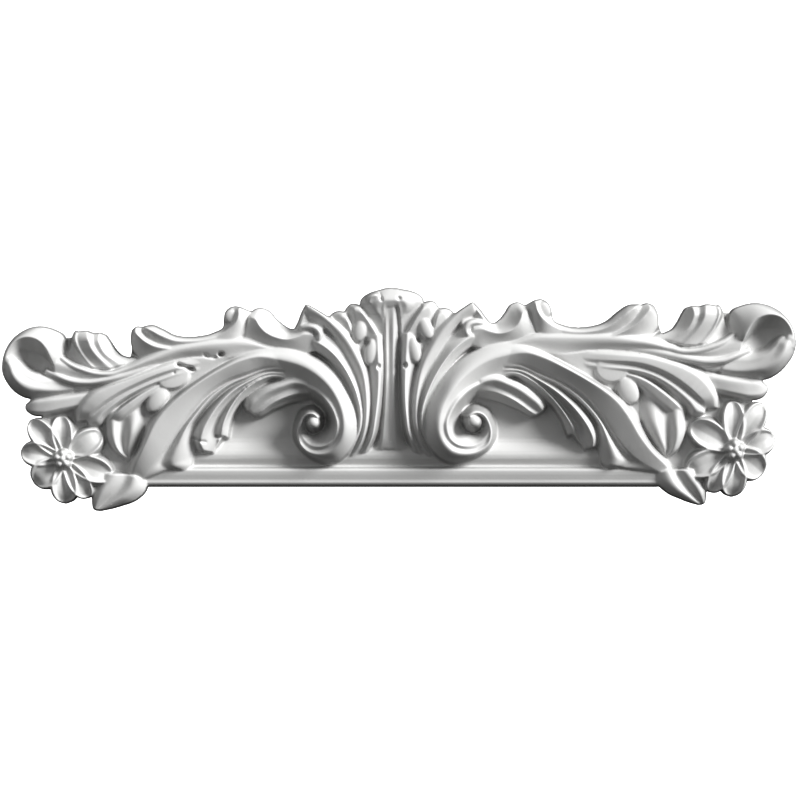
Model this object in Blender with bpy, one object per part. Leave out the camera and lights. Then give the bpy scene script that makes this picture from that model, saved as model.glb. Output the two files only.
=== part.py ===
"""Centrepiece of a panel moulding: one white casting, carved in front and flat behind.

Every form of the carving is a skin stretched over a few rails. A rail is a curve of points
(out from the middle, up from the moulding's lower edge, height over the flat back), in drawn
units. Where skins overlap, the highest one counts. The left half is drawn. The right half is
the same drawing shifted a little, because the model was carved by hand.
"""
import bmesh
import bpy
import numpy as np

LENGTH = 0.610
PROJECTION = 0.0414
DRAWN_LENGTH = 797.0
DRAWN_PROJECTION = 54.0
DRAWN_CENTRE = (7.5, 87.0)
UNIT = LENGTH / DRAWN_LENGTH
RISE = PROJECTION / DRAWN_PROJECTION
CELL = 1.0
FRONT_TRIANGLES = 7400
ALL_TRIANGLES = 9500
FLANK_SLOPE = 4.0
FLANK_REACH = 12.0
LEAST_HEIGHT = 8.0
RIM_ROUNDS = 3
SOFTNESS = 0.8
BED = 13
EYE = (77, 64)
TURNS = [120, 100, 80, 60, 40, 20, 0, -20, -40, -60, -80, -100, -120, -140, -160, -180, -210, -240, -270,
         -310]
WHITE = (0.86, 0.86, 0.85, 1.0)


def rail(points, steps):
    """A smooth curve through the points, with the same number of steps between each two."""
    p = np.asarray(points, float)
    gaps = np.linalg.norm(np.diff(p[:, :2], axis=0), axis=1)[:, None] + 1e-6
    slopes = np.diff(p, axis=0) / gaps
    inner = (slopes[:-1] * gaps[1:] + slopes[1:] * gaps[:-1]) / (gaps[:-1] + gaps[1:])
    tangents = np.vstack([slopes[:1], inner, slopes[-1:]])
    if len(p) > 2:
        tangents[0] = 1.5 * slopes[0] - 0.5 * tangents[1]
        tangents[-1] = 1.5 * slopes[-1] - 0.5 * tangents[-2]
    t = (np.arange(steps) / steps)[None, :, None]
    start, end = p[:-1, None], p[1:, None]
    leave, arrive = (tangents[:-1] * gaps)[:, None], (tangents[1:] * gaps)[:, None]
    dense = (start * (2 * t**3 - 3 * t**2 + 1) + leave * (t**3 - 2 * t**2 + t)
             + end * (3 * t**2 - 2 * t**3) + arrive * (t**3 - t**2))
    return np.vstack([dense.reshape(-1, p.shape[1]), p[-1:]])


def plain(t):
    return t


def swell(t):
    return (1 - np.cos(np.pi * t)) / 2


def shoulder(t):
    return np.sin(np.pi * t / 2)


def cove(t):
    return 1 - np.cos(np.pi * t / 2)


class Relief:
    """Heights on a square grid, raised by one form after another."""

    def __init__(self, cell, shift):
        self.cell = cell
        self.shift = shift
        self.left, self.bottom = -396.0, -34.0
        self.across = int(round(808 / cell)) + 1
        self.up = int(round(240 / cell)) + 1
        self.height = np.full((self.across, self.up), -1000.0)
        self.sunk = np.zeros((self.across, self.up))

    def raise_to(self, triangles):
        """Lift the grid to the triangles, each three corners of x, y in cells and height."""
        low = np.ceil(triangles[:, :, :2].min(1) - 1e-9).astype(int)
        span = np.floor(triangles[:, :, :2].max(1) + 1e-9).astype(int) - low
        a, b, c = triangles[:, 0], triangles[:, 1], triangles[:, 2]
        twice_area = (b[:, 0] - a[:, 0]) * (c[:, 1] - a[:, 1]) - (c[:, 0] - a[:, 0]) * (b[:, 1] - a[:, 1])
        keep = (span >= 0).all(1) & (np.abs(twice_area) > 1e-9)
        a, b, c, twice_area, low, span = (values[keep] for values in (a, b, c, twice_area, low, span))
        if not len(a):
            return
        for i in range(span[:, 0].max() + 1):
            for j in range(span[:, 1].max() + 1):
                use = (span[:, 0] >= i) & (span[:, 1] >= j)
                p, q, r, area = a[use], b[use], c[use], twice_area[use]
                x, y = low[use, 0] + i, low[use, 1] + j
                dx, dy = x - p[:, 0], y - p[:, 1]
                to_q = (dx * (r[:, 1] - p[:, 1]) - dy * (r[:, 0] - p[:, 0])) / area
                to_r = (dy * (q[:, 0] - p[:, 0]) - dx * (q[:, 1] - p[:, 1])) / area
                inside = (to_q >= -1e-6) & (to_r >= -1e-6) & (to_q + to_r <= 1 + 1e-6)
                inside &= (x >= 0) & (x < self.across) & (y >= 0) & (y < self.up)
                height = p[:, 2] + to_q * (q[:, 2] - p[:, 2]) + to_r * (r[:, 2] - p[:, 2])
                np.maximum.at(self.height, (x[inside], y[inside]), height[inside])

    def lay(self, out, up, height, halves='LR'):
        """Lay a net of points on the left half, the right half or both."""
        for half in halves:
            x, y = (-out, up) if half == 'L' else self.shift(out, up)
            net = np.stack([(x - self.left) / self.cell, (y - self.bottom) / self.cell, height], -1)
            a, b, c, d = net[:-1, :-1], net[1:, :-1], net[1:, 1:], net[:-1, 1:]
            self.raise_to(np.concatenate([np.stack([a, b, c], -2).reshape(-1, 3, 3),
                                          np.stack([a, c, d], -2).reshape(-1, 3, 3)]))

    def skin(self, rails, shapes, halves='LR'):
        """A surface over the rails, with one shape for each gap between two of them."""
        stretch = max(np.linalg.norm(np.diff(np.asarray(r, float)[:, :2], axis=0),
                                     axis=1).max() for r in rails)
        steps = int(stretch / self.cell * 1.15) + 2
        lines = [rail(points, steps) for points in rails]
        strips = []
        for a, b, shape in zip(lines, lines[1:], shapes):
            width = np.linalg.norm(a[:, :2] - b[:, :2], axis=1).max()
            t = np.linspace(0, 1, int(width / self.cell * 1.15) + 3)[None, :, None]
            strip = a[:, None] * (1 - t) + b[:, None] * t
            share = shape(t[..., 0])
            strip[..., 2] = a[:, 2:3] * (1 - share) + b[:, 2:3] * share
            strips.append(strip if not strips else strip[:, 1:])
        net = np.concatenate(strips, axis=1)
        self.lay(net[..., 0], net[..., 1], net[..., 2], halves)

    def level(self, one_edge, other_edge, height):
        """A level patch between two edges."""
        self.skin([[(out, up, height) for out, up in edge] for edge in (one_edge, other_edge)], [plain])

    def roll(self, line, radius):
        """A rounded cord laid along a line."""
        p = np.asarray(line, float)
        along = np.gradient(p[:, :2], axis=0)
        along /= np.linalg.norm(along, axis=1)[:, None]
        side = np.column_stack([-along[:, 1], along[:, 0]]) * radius
        rails = [np.column_stack([p[:, :2] + side * across, p[:, 2] - radius * drop])
                 for across, drop in ((1, 1), (0.7, 0.28), (0, 0), (-0.7, 0.28), (-1, 1))]
        self.skin(rails, [plain] * 4)

    def ring(self, centre, length, width, turn, steps):
        """An oval form: each step is a share of its size and the height there."""
        angles = np.linspace(0, 2 * np.pi, 17)
        rails = []
        for share, height in steps:
            x, y = length * share * np.cos(angles), width * share * np.sin(angles)
            rails.append(np.column_stack([centre[0] + x * np.cos(turn) - y * np.sin(turn),
                                          centre[1] + x * np.sin(turn) + y * np.cos(turn),
                                          np.full(len(angles), height)]))
        self.skin(rails, [plain] * (len(steps) - 1))

    def cut(self, line, radius, depth, halves='LR'):
        """A rounded hole or nick along a line, taken out of the finished heights."""
        kept, self.height = self.height, self.sunk
        p = np.asarray(line, float)
        along = np.gradient(p, axis=0)
        along /= np.linalg.norm(along, axis=1)[:, None]
        side = np.column_stack([-along[:, 1], along[:, 0]]) * radius
        ends = np.vstack([p[:1] - along[:1] * radius, p, p[-1:] + along[-1:] * radius])
        reach = np.vstack([side[:1] * 0.05, side, side[-1:] * 0.05])
        deep = np.concatenate([[0], np.full(len(p), depth), [0]])
        rails = [np.column_stack([ends + reach * across, deep * share])
                 for across, share in ((1, 0), (0.5, 0.85), (0, 1), (-0.5, 0.85), (-1, 0))]
        self.skin(rails, [plain] * 4, halves)
        self.height, self.sunk = kept, self.height

    def knob(self, centre, radius, height, bulge=1.0, stretch=1.0, turn=0.0):
        """A rounded boss."""
        shares = np.sin(np.linspace(np.pi / 2, 0.2, 6))
        steps = [(s, height - bulge * radius * (1 - np.sqrt(1 - s * s))) for s in (*shares, 0.0)]
        self.ring(centre, radius * stretch, radius, turn, steps)


def shift_right():
    """The right half's own drawing: each place on it is shifted by its neighbours' known shifts."""
    shifts = [((390, 125), (16, 22)), ((352, 161), (15, 23)), ((316, 157), (12, 26)), ((260, 130), (10, 24)),
              ((248, 162), (0, 22)), ((160, 171), (-7, 7)), ((96, 159), (3, 6)), ((84, 183), (-3, 2)),
              ((38, 183), (1.5, 3)), ((77, 64), (5, 1)), ((34, 64), (0, 0)), ((0, 190), (0, 0)), ((0, 30),
                                                                                                  (0, 0)),
              ((50, 26), (1, 0)), ((147, 80), (8, 0)), ((219, 20), (7, 1)), ((181, 32), (16, 4)),
              ((216, 110), (4, 7)), ((240, 73), (2, 9)), ((266, 30), (12, 2)), ((250, 8), (21, 7)),
              ((367, 80), (11, 18)), ((328, 28), (16, 9)), ((296, -25), (16, 6))]
    places = np.array([place for place, _ in shifts], float)
    moves = np.array([move for _, move in shifts], float)
    count = len(places)

    def bend(squared):
        return squared * np.log(squared + 1e-9)

    system = np.zeros((count + 3, count + 3))
    system[:count, :count] = bend(((places[:, None] - places[None])**2).sum(-1)) + np.eye(count) * 200.0
    system[:count, count] = 1
    system[:count, count + 1:] = places
    system[count:, :count] = system[:count, count:].T
    weights = np.linalg.solve(system, np.vstack([moves, np.zeros((3, 2))]))

    def shift(out, up):
        at = np.stack([np.ravel(out), np.ravel(up)], -1).astype(float)
        moved = at + weights[count] + at @ weights[count + 1:]
        for place, weight in zip(places, weights[:count]):
            moved = moved + bend(((at - place)**2).sum(-1))[:, None] * weight
        return moved[:, 0].reshape(np.shape(out)), moved[:, 1].reshape(np.shape(up))
    return shift


def moulding(relief):
    """The run of panel moulding: round band, quirk, cove and flat field, cut at both ends."""
    profile = np.array([(0, 20), (2, 22.6), (4, 24.4), (7, 25.6), (12, 25.5), (15, 24.7), (17.4, 23.2),
                        (18.6, 20),
                        (20, 16.5), (22, 16), (24, 17.2), (28, 19.6), (32, 20), (36, 18.8), (40, 16.4),
                        (44, 13.6),
                        (48, 12.2), (52, 12), (90, 12)], float)
    up = np.linspace(0, 90, int(90 / relief.cell * 1.2))
    for half, end in (('L', 247), ('R', 268)):
        out = np.linspace(-2, end, int(end / relief.cell * 1.2))
        net_out, net_up = np.meshgrid(out, up, indexing='ij')
        height = np.interp(net_up, profile[:, 0], profile[:, 1])
        x = -net_out if half == 'L' else net_out
        net = np.stack([(x - relief.left) / relief.cell, (net_up - relief.bottom) / relief.cell, height], -1)
        a, b, c, d = net[:-1, :-1], net[1:, :-1], net[1:, 1:], net[:-1, 1:]
        relief.raise_to(np.concatenate([np.stack([a, b, c], -2).reshape(-1, 3, 3),
                                        np.stack([a, c, d], -2).reshape(-1, 3, 3)]))


def turn_rail(centre, angles, radii, heights):
    """A rail that turns round a centre; 0 degrees points out, away from it."""
    angle = np.radians(angles)
    radius = np.array(radii, float)
    return np.column_stack([centre[0] - radius * np.cos(angle), centre[1] + radius * np.sin(angle), heights])


def bed(relief):
    """The ground that the leaves lie on, inside the outline."""
    upper = [(0, 190), (14, 190), (27, 184), (38, 177), (50, 170), (64, 162), (84, 174), (97, 154),
             (116, 160),
             (130, 172), (145, 172), (158, 172), (163, 158), (182, 150), (205, 147), (228, 154), (245, 157),
             (256, 148), (264, 124), (290, 148), (312, 150), (325, 149), (345, 150), (362, 140), (372, 120)]
    lower = [(0, 80), (14, 80), (27, 80), (38, 80), (50, 80), (64, 80), (84, 84), (97, 84), (116, 84),
             (130, 84),
             (145, 84), (158, 84), (163, 80), (182, 60), (205, 60), (228, 50), (240, 50), (250, 50),
             (264, 60),
             (290, 66), (312, 70), (325, 74), (345, 78), (358, 84), (366, 100)]
    relief.level(upper, lower, BED)
    outer = [(350, 90), (346, 76), (352, 66), (352, 48), (358, 37), (350, 26), (350, 8), (336, 2), (322, -10),
             (302, -8), (297, -18)]
    inner = [(248, 90), (246, 76), (244, 66), (244, 48), (248, 37), (254, 26), (250, 10), (250, 2), (250, -4),
             (262, -12), (282, -18)]
    relief.level(outer, inner, BED + 6)
    relief.level([(150, 126), (200, 122), (250, 104), (296, 84)], [(165, 105), (215, 80), (245, 60),
                                                                   (264, 62)], 25)
    relief.level([(8, 150), (18, 178), (34, 178), (52, 172), (84, 172)], [(8, 120), (22, 120), (36, 140),
                                                                          (52, 150), (76, 148)], 30)
    relief.level([(130, 170), (150, 168)], [(124, 140), (160, 142)], 27)


def end_scroll(relief):
    """The roll at each end: its bowl lies between the rolled rim and the lip that turns over it."""
    outline = [(318, 94, 27), (335, 91, 26), (352, 89.5, 25), (364, 88.5, 24), (375, 93.5, 24),
               (384, 103, 24),
               (389, 113, 24), (390, 123, 24)]
    rim = [(318, 99, 33), (335, 97, 35), (350, 98, 38), (362, 100.5, 41), (371, 105.5, 43), (377, 113, 44),
           (380, 121, 43), (384, 127, 39)]
    inner = [(326, 106, 32), (338, 104.5, 34), (349, 105.5, 36), (358, 108.5, 38), (365, 112.5, 39),
             (369.5, 118, 39), (372.5, 124, 39), (378, 128, 38)]
    floor = [(336, 114, 29), (342, 114, 25), (348.5, 115, 22), (354.5, 117, 20), (360, 120, 20),
             (364, 123.5, 21),
             (368, 127, 24), (374, 130, 32)]
    back = [(337, 118, 30), (341, 122, 26), (345, 127, 22), (350, 132, 20), (357, 135.5, 20),
            (364, 136.5, 22),
            (371, 134.5, 27), (378, 129, 34)]
    relief.skin([outline, rim, inner, floor, back], [shoulder, swell, cove, plain])
    edge = [(389.5, 116, 25), (389, 127, 25), (384.5, 140, 25), (376, 151, 25), (364, 158.5, 25),
            (351, 161, 25),
            (338, 158, 24), (328, 152, 23), (325, 142, 22), (326, 130, 24)]
    lip = [(387, 117, 34), (386, 128, 40), (381, 139.5, 43), (372.5, 147.5, 44), (362, 149.5, 45),
           (352, 146, 45),
           (345, 138.5, 44), (341.5, 131.5, 42), (339.5, 127, 40), (338, 123, 36)]
    under = [(385, 118, 38), (380.5, 127, 39), (375, 132.5, 32), (367, 136.5, 24), (359, 136.5, 21),
             (353, 134, 20.5), (348.5, 130.5, 21), (345, 126.5, 23), (342.5, 124, 25), (339, 120, 29)]
    relief.skin([edge, lip, under], [shoulder, plain])
    relief.knob((382.5, 126.5), 4, 41, 0.5)


def stem(relief):
    """The broad band that runs out from the volute and parts into the end leaves."""
    top = [(104, 138, 32), (124, 142, 33), (146, 149, 33), (170, 149, 32), (195, 147, 31), (220, 143, 31),
           (245, 132, 30), (268, 121, 30), (290, 115, 29), (310, 119, 29), (326, 128, 29), (337, 131, 31)]
    crest = [(102, 135, 34), (123, 139, 36.5), (145, 143.5, 38), (170, 143, 39), (195, 140.5, 39),
             (220, 135.5, 39),
             (245, 125.5, 39), (268, 116, 38), (290, 111, 37.5), (310, 113.5, 37), (326, 120, 36),
             (338, 123, 35)]
    low = [(100, 131, 34), (122, 135, 35.5), (142, 134, 35.5), (160, 129, 35), (178, 129, 34),
           (196, 129.5, 33),
           (216, 126.5, 32), (240, 118.5, 31), (268, 108.5, 30), (290, 102, 30), (312, 97, 31), (334, 98, 31)]
    relief.skin([top, crest, low], [shoulder, swell])
    relief.roll([(346, 116, 31), (335, 111.5, 36), (320, 106, 39), (304, 104.5, 39.5), (288, 106.5, 39),
                 (268, 111, 38), (248, 118, 36), (232, 124, 33)], 2.8)
    relief.roll([(331, 130, 33), (320, 122, 37.5), (308, 117, 39.5), (295, 113.5, 39.5), (280, 113, 39),
                 (262, 119, 37), (246, 125, 34)], 2.4)


def leaf_one(relief):
    outer = [(328, 122, 26), (324, 134, 22), (320.5, 143, 22), (320, 149, 22), (318.5, 153.5, 22),
             (315, 157.5, 24)]
    ridge = [(297, 119, 35), (305, 127, 35.5), (311, 135, 37), (314.5, 142, 38), (316.5, 149, 37),
             (315, 155, 34)]
    groove = [(293, 118, 33.5), (301, 125.5, 33.5), (307.5, 133.5, 34.5), (311.5, 141, 35.5),
              (313.5, 149, 35),
              (312, 156, 32)]
    fold = [(281, 118, 35), (288.5, 125.5, 37), (295.5, 133, 39), (300.5, 141, 40.5), (303, 149, 40.5),
            (304, 156.5, 33)]
    back = [(275, 120, 33), (283, 126, 34.5), (290, 132.5, 36), (295, 140, 36.5), (297, 147, 36),
            (297.5, 154, 28)]
    tip = [(270, 121.5, 33), (278, 127.5, 35), (285, 133, 37), (289.5, 140, 38), (292, 147, 38),
           (291, 154.5, 32)]
    edge = [(250, 128, 28), (263, 130, 27), (271, 133, 26), (276.5, 139, 26), (281, 146, 26),
            (285.5, 152.5, 26)]
    relief.skin([outer, ridge, groove, fold, back, tip, edge], [cove, plain, plain, swell, plain, shoulder])


def leaf_two(relief):
    edge = [(164, 161, 26), (182, 153, 26), (200, 150.5, 26), (216, 152, 27), (229, 158.5, 28),
            (239, 162.3, 28),
            (246, 161.3, 28), (248.5, 160.6, 29)]
    crest = [(168, 151, 35), (185, 147, 37), (200, 145.5, 38), (215, 146, 39), (228, 150.5, 41),
             (238, 155.5, 42),
             (245, 159, 39), (248, 160, 34)]
    groove = [(173, 144, 35), (190, 142, 35), (205, 140.5, 35), (219, 140.5, 35), (232, 143.5, 35),
              (242, 149.5, 35),
              (247.5, 156, 34), (249.5, 160.3, 31)]
    ridge = [(180, 140.5, 37), (194, 138.5, 37.5), (208, 137.5, 38), (224, 138.5, 39), (239, 142, 41),
             (250, 149, 42), (256, 156.5, 39), (254.5, 161, 32)]
    outer = [(185, 134, 34), (200, 131, 33), (215, 129, 31), (232, 127, 29), (248, 127.5, 26), (258, 136, 24),
             (261, 149, 24), (259.5, 157.5, 26)]
    relief.skin([edge, crest, groove, ridge, outer], [shoulder, plain, plain, plain])


def curl_one(relief):
    edge = [(192, 150.5, 26), (178, 154.5, 26), (168, 160.5, 25), (167.5, 168, 25), (166, 175, 25),
            (161, 180, 26),
            (154, 180.8, 27)]
    crest = [(188, 146, 34), (173, 151.5, 36), (162.5, 158, 38), (155.5, 164.5, 40), (152.3, 171, 41),
             (151.8, 177, 39), (151, 180.3, 33)]
    face = [(182, 140, 34), (168, 142, 35), (155, 145, 35), (147.5, 152, 32), (144.5, 160, 30),
            (142.5, 168, 28),
            (140.5, 176, 27)]
    relief.skin([edge, crest, face], [cove, plain])
    relief.knob((159.8, 170.3), 7, 35.5, 0.4)


def curl_two(relief):
    edge = [(141, 175, 26), (132, 179.5, 26), (123, 177, 26), (115, 169, 26), (107, 162, 26),
            (100, 158.3, 26),
            (93, 159, 30), (86, 161, 35), (78, 159, 38)]
    lip = [(141, 170, 35), (135.5, 168, 40), (131, 161, 42), (124, 154, 42), (114, 149.5, 42), (104, 148, 41),
           (95, 150, 41), (86, 153, 41), (77, 151, 40)]
    base = [(147, 148, 31), (142, 146, 31), (135, 143, 31), (125, 140.5, 31), (114, 138.5, 31),
            (104, 137, 32),
            (94, 135, 33), (84, 134, 34), (74, 137, 34)]
    relief.skin([edge, lip, base], [cove, plain])
    relief.roll([(90, 158, 38), (81, 160, 42), (74, 157.5, 43.5), (71, 152.5, 43.5), (73, 147.5, 42),
                 (77, 148, 39)], 3)


def blade_tip(relief):
    """The pointed leaf between the second curl and the fan: its bright outer strip."""
    edge = [(97, 158.5, 26), (93, 166, 26), (91, 172, 27), (85, 183.5, 28)]
    crest = [(93, 157, 34), (90, 165, 37), (87, 172, 38), (84.5, 182.5, 34)]
    crease = [(80, 156, 33), (81, 164, 32), (82, 171, 33), (84, 181, 34)]
    face = [(66, 158, 37), (70, 165, 37), (76, 172, 38), (83.5, 181, 38)]
    relief.skin([edge, crest, crease, face], [shoulder, plain, plain])


def small_lobes(relief):
    relief.skin([[(62, 168.5, 28), (60, 173, 27), (54, 176, 27), (47, 175.5, 27)],
                 [(52, 160, 34), (50, 166, 36), (48, 171, 37), (46, 174.5, 33)],
                 [(38, 150, 34), (40, 159, 38), (42.5, 166, 39), (46, 173, 36)]], [shoulder, plain])
    relief.skin([[(40, 152, 33), (44, 162, 31), (47, 172, 28), (45.5, 178, 27), (41, 183, 27),
                  (36, 183.5, 27),
                  (30, 181.5, 27)],
                 [(28, 150, 34), (33, 160, 35), (36, 168, 36), (37.5, 174, 37), (37, 178.5, 37),
                  (34, 180.5, 35),
                  (30, 180.5, 33)],
                 [(9, 146, 35), (13, 152, 37), (18, 160, 39), (23, 168, 40), (28, 174.5, 40), (30, 178, 37),
                  (29.5, 180, 31)]], [cove, plain])
    for place, length, width, turn in (((31.5, 155.5), 11, 6.5, 1.85), ((20.5, 135), 13, 6, 1.75)):
        relief.knob(place, width, 43, 0.8, length / width, turn)


def crest_dome(relief):
    relief.skin([[(30, 180, 24), (31, 186, 26), (27, 191, 26), (21, 194.5, 26), (13, 197, 26),
                  (4, 199.3, 26), (0, 199.5, 26)],
                 [(10, 178, 38), (14, 184, 42), (13, 187, 43), (11, 189, 44), (8, 190.5, 44),
                  (4, 191, 44), (0, 191, 44)],
                 [(9, 170, 36), (8, 176, 38), (7, 179, 39), (5, 180, 40), (3, 180.5, 40), (1, 180.5, 40),
                  (0, 180.5, 40)]],
         [shoulder, swell])
    relief.skin([[(30, 183, 28), (23, 172, 30), (16, 160, 30), (9.5, 146, 30)],
                 [(18, 183, 36), (14.5, 172, 33), (11.5, 160, 31), (8.7, 147, 30)],
                 [(6, 184, 38), (6.5, 172, 36), (7, 160, 34), (7.5, 148, 33)]], [plain, plain])


def big_leaf(relief):
    """The leaf that droops from the volute's band over the moulding, all its lobes in one skin."""
    e1 = [(121, 140.2, 34), (135, 137, 35), (154, 130, 34), (174, 120, 31), (194, 107, 28), (214, 93.5, 27),
          (232, 78, 26), (243, 66, 25), (248, 54, 24), (254, 38, 24), (261, 25, 23), (264, 14, 22)]
    mid = [(113.75, 127.65, 42), (132, 130, 44), (152, 125.5, 45.5), (171, 116.5, 46), (192, 104, 46.5),
           (211, 89.5, 46), (226, 75, 45), (236, 61, 44), (243, 47, 42), (250, 33, 38), (256, 20, 32), (259, 10, 26)]
    r1 = [(109.5, 120.3, 37.8), (127, 120, 37), (147, 113.5, 37), (165, 107, 37), (183.5, 94.5, 37), (200, 76, 37),
          (213, 58, 36.5), (222, 45, 36), (231, 32, 35), (239, 21, 33), (246, 12, 30), (250, 6.5, 27)]
    g1 = [(109, 119.3, 37.3), (126, 118.2, 34.5), (145.4, 111.3, 32.5), (163, 104.4, 31.5), (181.3, 92.5, 31),
          (197.6, 74.3, 31), (210.6, 56.5, 30.5), (219.3, 43.4, 30), (227.5, 30.8, 29.5), (230, 22.5, 29),
          (224, 18.5, 28.5), (219, 18.5, 28)]
    e2 = [(107, 116, 35.4), (124, 115.3, 32), (142, 108.5, 29), (158, 101.5, 27), (174, 89.5, 26),
          (189, 73.5, 25),
          (197.5, 60, 25), (198, 49, 24), (197, 39, 24), (198.5, 29, 24), (201.5, 20, 25), (208, 16.5, 27)]
    lobe_rise = [36.6, 35.5, 35, 35, 35.5, 36.5, 37, 37, 36, 34, 31, 29]
    c1 = [(0.6 * a + 0.4 * c, 0.6 * b + 0.4 * d, h) for (a, b, _), (c, d, _), h in zip(g1, e2, lobe_rise)]
    relief.skin([e1, mid, r1, g1, c1, e2], [shoulder, plain, plain, swell, cove])
    e3 = [(106.5, 115.2, 34.9), (124, 114.5, 31), (142, 108, 28), (158, 101, 27), (174, 88, 26),
          (188, 72, 26),
          (196, 59, 26), (198.5, 50, 25), (195, 38, 25)]
    r3 = [(105, 112.5, 33.4), (124, 113.3, 36), (142, 105.5, 38), (157, 96, 39), (171, 82.5, 40),
          (182, 66, 40),
          (188, 53, 39), (190, 44, 36), (187, 36, 30)]
    e4 = [(103.5, 110, 32), (121, 111.7, 31), (138, 103.5, 29), (152, 93, 28), (163, 80, 27), (171, 67, 26),
          (175, 54, 26), (174, 44, 25), (178, 34, 25)]
    r4 = [(102.8, 108.7, 31.3), (120, 111, 35.5), (135, 105.5, 37), (148, 96, 37), (158.5, 83, 37),
          (164.5, 71, 36),
          (168, 61, 34), (169, 55, 31), (169, 51, 28)]
    e5 = [(101.8, 107, 30.3), (119, 108.5, 30), (131, 101, 27), (143, 92, 26), (152.5, 82, 25),
          (158.5, 72, 25),
          (162, 61, 25), (163, 54, 25), (164, 49.5, 25)]
    relief.skin([e3, r3, e4, r4, e5], [shoulder, shoulder, plain, shoulder])


def finger(relief):
    """The short lobe that continues the volute's inner rim."""
    edge = [(84, 107, 37), (98, 109, 34), (112, 105.5, 32), (126, 101, 30), (137, 95, 27),
            (144.5, 88, 25), (147, 81, 24)]
    crest = [(83, 101, 38), (97, 104.5, 37), (110, 101, 37), (122, 96, 36), (132, 89.5, 34), (139.5, 83, 32),
             (143.5, 77, 28)]
    groove = [(82, 97, 31), (96, 98, 31), (108, 94, 31), (118, 89, 30), (126, 83.5, 29), (133.5, 78, 27),
              (139, 73.5, 25)]
    second = [(82, 93, 27), (94, 93, 31), (106, 89.5, 33), (116, 85, 33), (124, 79.5, 31), (130.5, 74.5, 29),
              (135, 71.5, 26)]
    low = [(82, 88, 17), (92, 86, 19), (104, 83, 21), (113, 79.5, 22), (120, 76.5, 22), (126, 73, 22),
           (131, 70, 21)]
    relief.skin([edge, crest, groove, second, low], [shoulder, swell, plain, shoulder])


def wide_lobes(relief):
    upper = [(190, 130, 33), (204, 128.5, 34), (218, 126, 33), (240, 118.5, 31), (268, 108.5, 29),
             (289, 102, 28),
             (303, 96, 27), (312, 87, 25), (316.5, 76, 24), (315.5, 66, 23)]
    ridge = [(188, 124.5, 34), (200, 121.5, 36), (213, 118.5, 38.5), (233, 112.5, 40.5), (255, 103, 41),
             (272, 94.5, 41), (286, 85.5, 40.5), (296, 77.5, 38.5), (302, 72, 35), (305, 67, 28)]
    groove = [(187.5, 122.5, 33), (199, 119.5, 34), (212, 116.5, 35), (231.7, 110, 35.5),
              (253.5, 100.5, 35.5),
              (270.2, 92, 35.5), (284, 83.2, 35), (293.8, 75.5, 33.5), (299.5, 70, 31.5), (303, 65.5, 28)]
    lower = [(186, 119, 32), (196, 113.5, 32), (207, 110.5, 31), (224, 105, 29), (246, 96.5, 28),
             (263, 87, 27),
             (276, 77, 26), (285, 68.5, 25), (290, 61.5, 24), (301, 60.5, 23)]
    crest = [(0.55 * a + 0.45 * c, 0.55 * b + 0.45 * d, h) for (a, b, _), (c, d, h) in zip(upper, ridge)]
    back_rise = [33, 35, 37, 38, 38, 38, 37.5, 36, 34, 30]
    back = [(0.55 * a + 0.45 * c, 0.55 * b + 0.45 * d, h) for (a, b, _),
            (c, d, _), h in zip(groove, lower, back_rise)]
    relief.skin([upper, crest, ridge, groove, back, lower], [shoulder, plain, plain, swell, cove])
    relief.skin([[(226, 106, 29), (246, 96.5, 29), (262, 86, 28), (275, 75.5, 27), (284, 67, 26)],
                 [(227.5, 104, 35), (247, 94, 38), (262.5, 83.5, 39), (275.5, 73.5, 37), (283.5, 66, 30)],
                 [(232, 99, 34), (248, 88.5, 36), (261, 78.5, 36.5), (272, 70, 34.5), (280.5, 64, 28)],
                 [(236, 94, 28), (248, 83, 27), (258, 73, 26), (268, 65.5, 25), (278, 61.5, 24)]],
                [shoulder, plain, cove])
    relief.skin([[(140, 133, 35), (160, 129.5, 35), (178, 129, 35), (196, 129.5, 35), (216, 126.5, 34),
                  (240, 118.5, 33)],
                 [(143, 133, 33), (160, 128, 33), (176, 119.5, 33), (194, 107.5, 32), (214, 94, 30),
                  (232, 79, 28)]],
                [plain])
    relief.ring((217, 110), 18, 12.5, -0.35, [(1, 30), (0.93, 36), (0.8, 38), (0.4, 39), (0, 39)])
    relief.knob((233.5, 87.5), 8.5, 37, 0.5, 1.75, 2.2)
    relief.skin([[(300, 97, 28), (322, 93.5, 28), (345, 91, 26), (359, 88, 24), (366.5, 82, 23)],
                 [(304, 92, 32), (326, 88, 34), (346, 85.5, 33), (359, 84, 30), (366.6, 80.5, 25)],
                 [(309, 84, 31), (331, 79, 33), (348, 76, 32), (360, 77, 29), (366.6, 79, 25)],
                 [(314, 78, 25), (333, 73.5, 24), (350, 70.5, 23), (361, 72.5, 22), (366, 77, 22)]],
                [shoulder, swell, cove])


PETALS = [((361.5, 67), 21), ((371, 36), 22), ((357.5, 3), 26), ((325.5, -17), 24), ((302, -11), 20),
          ((279, 11), 24),
          ((289.5, 54), 23), ((330, 71), 20)]


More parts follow.
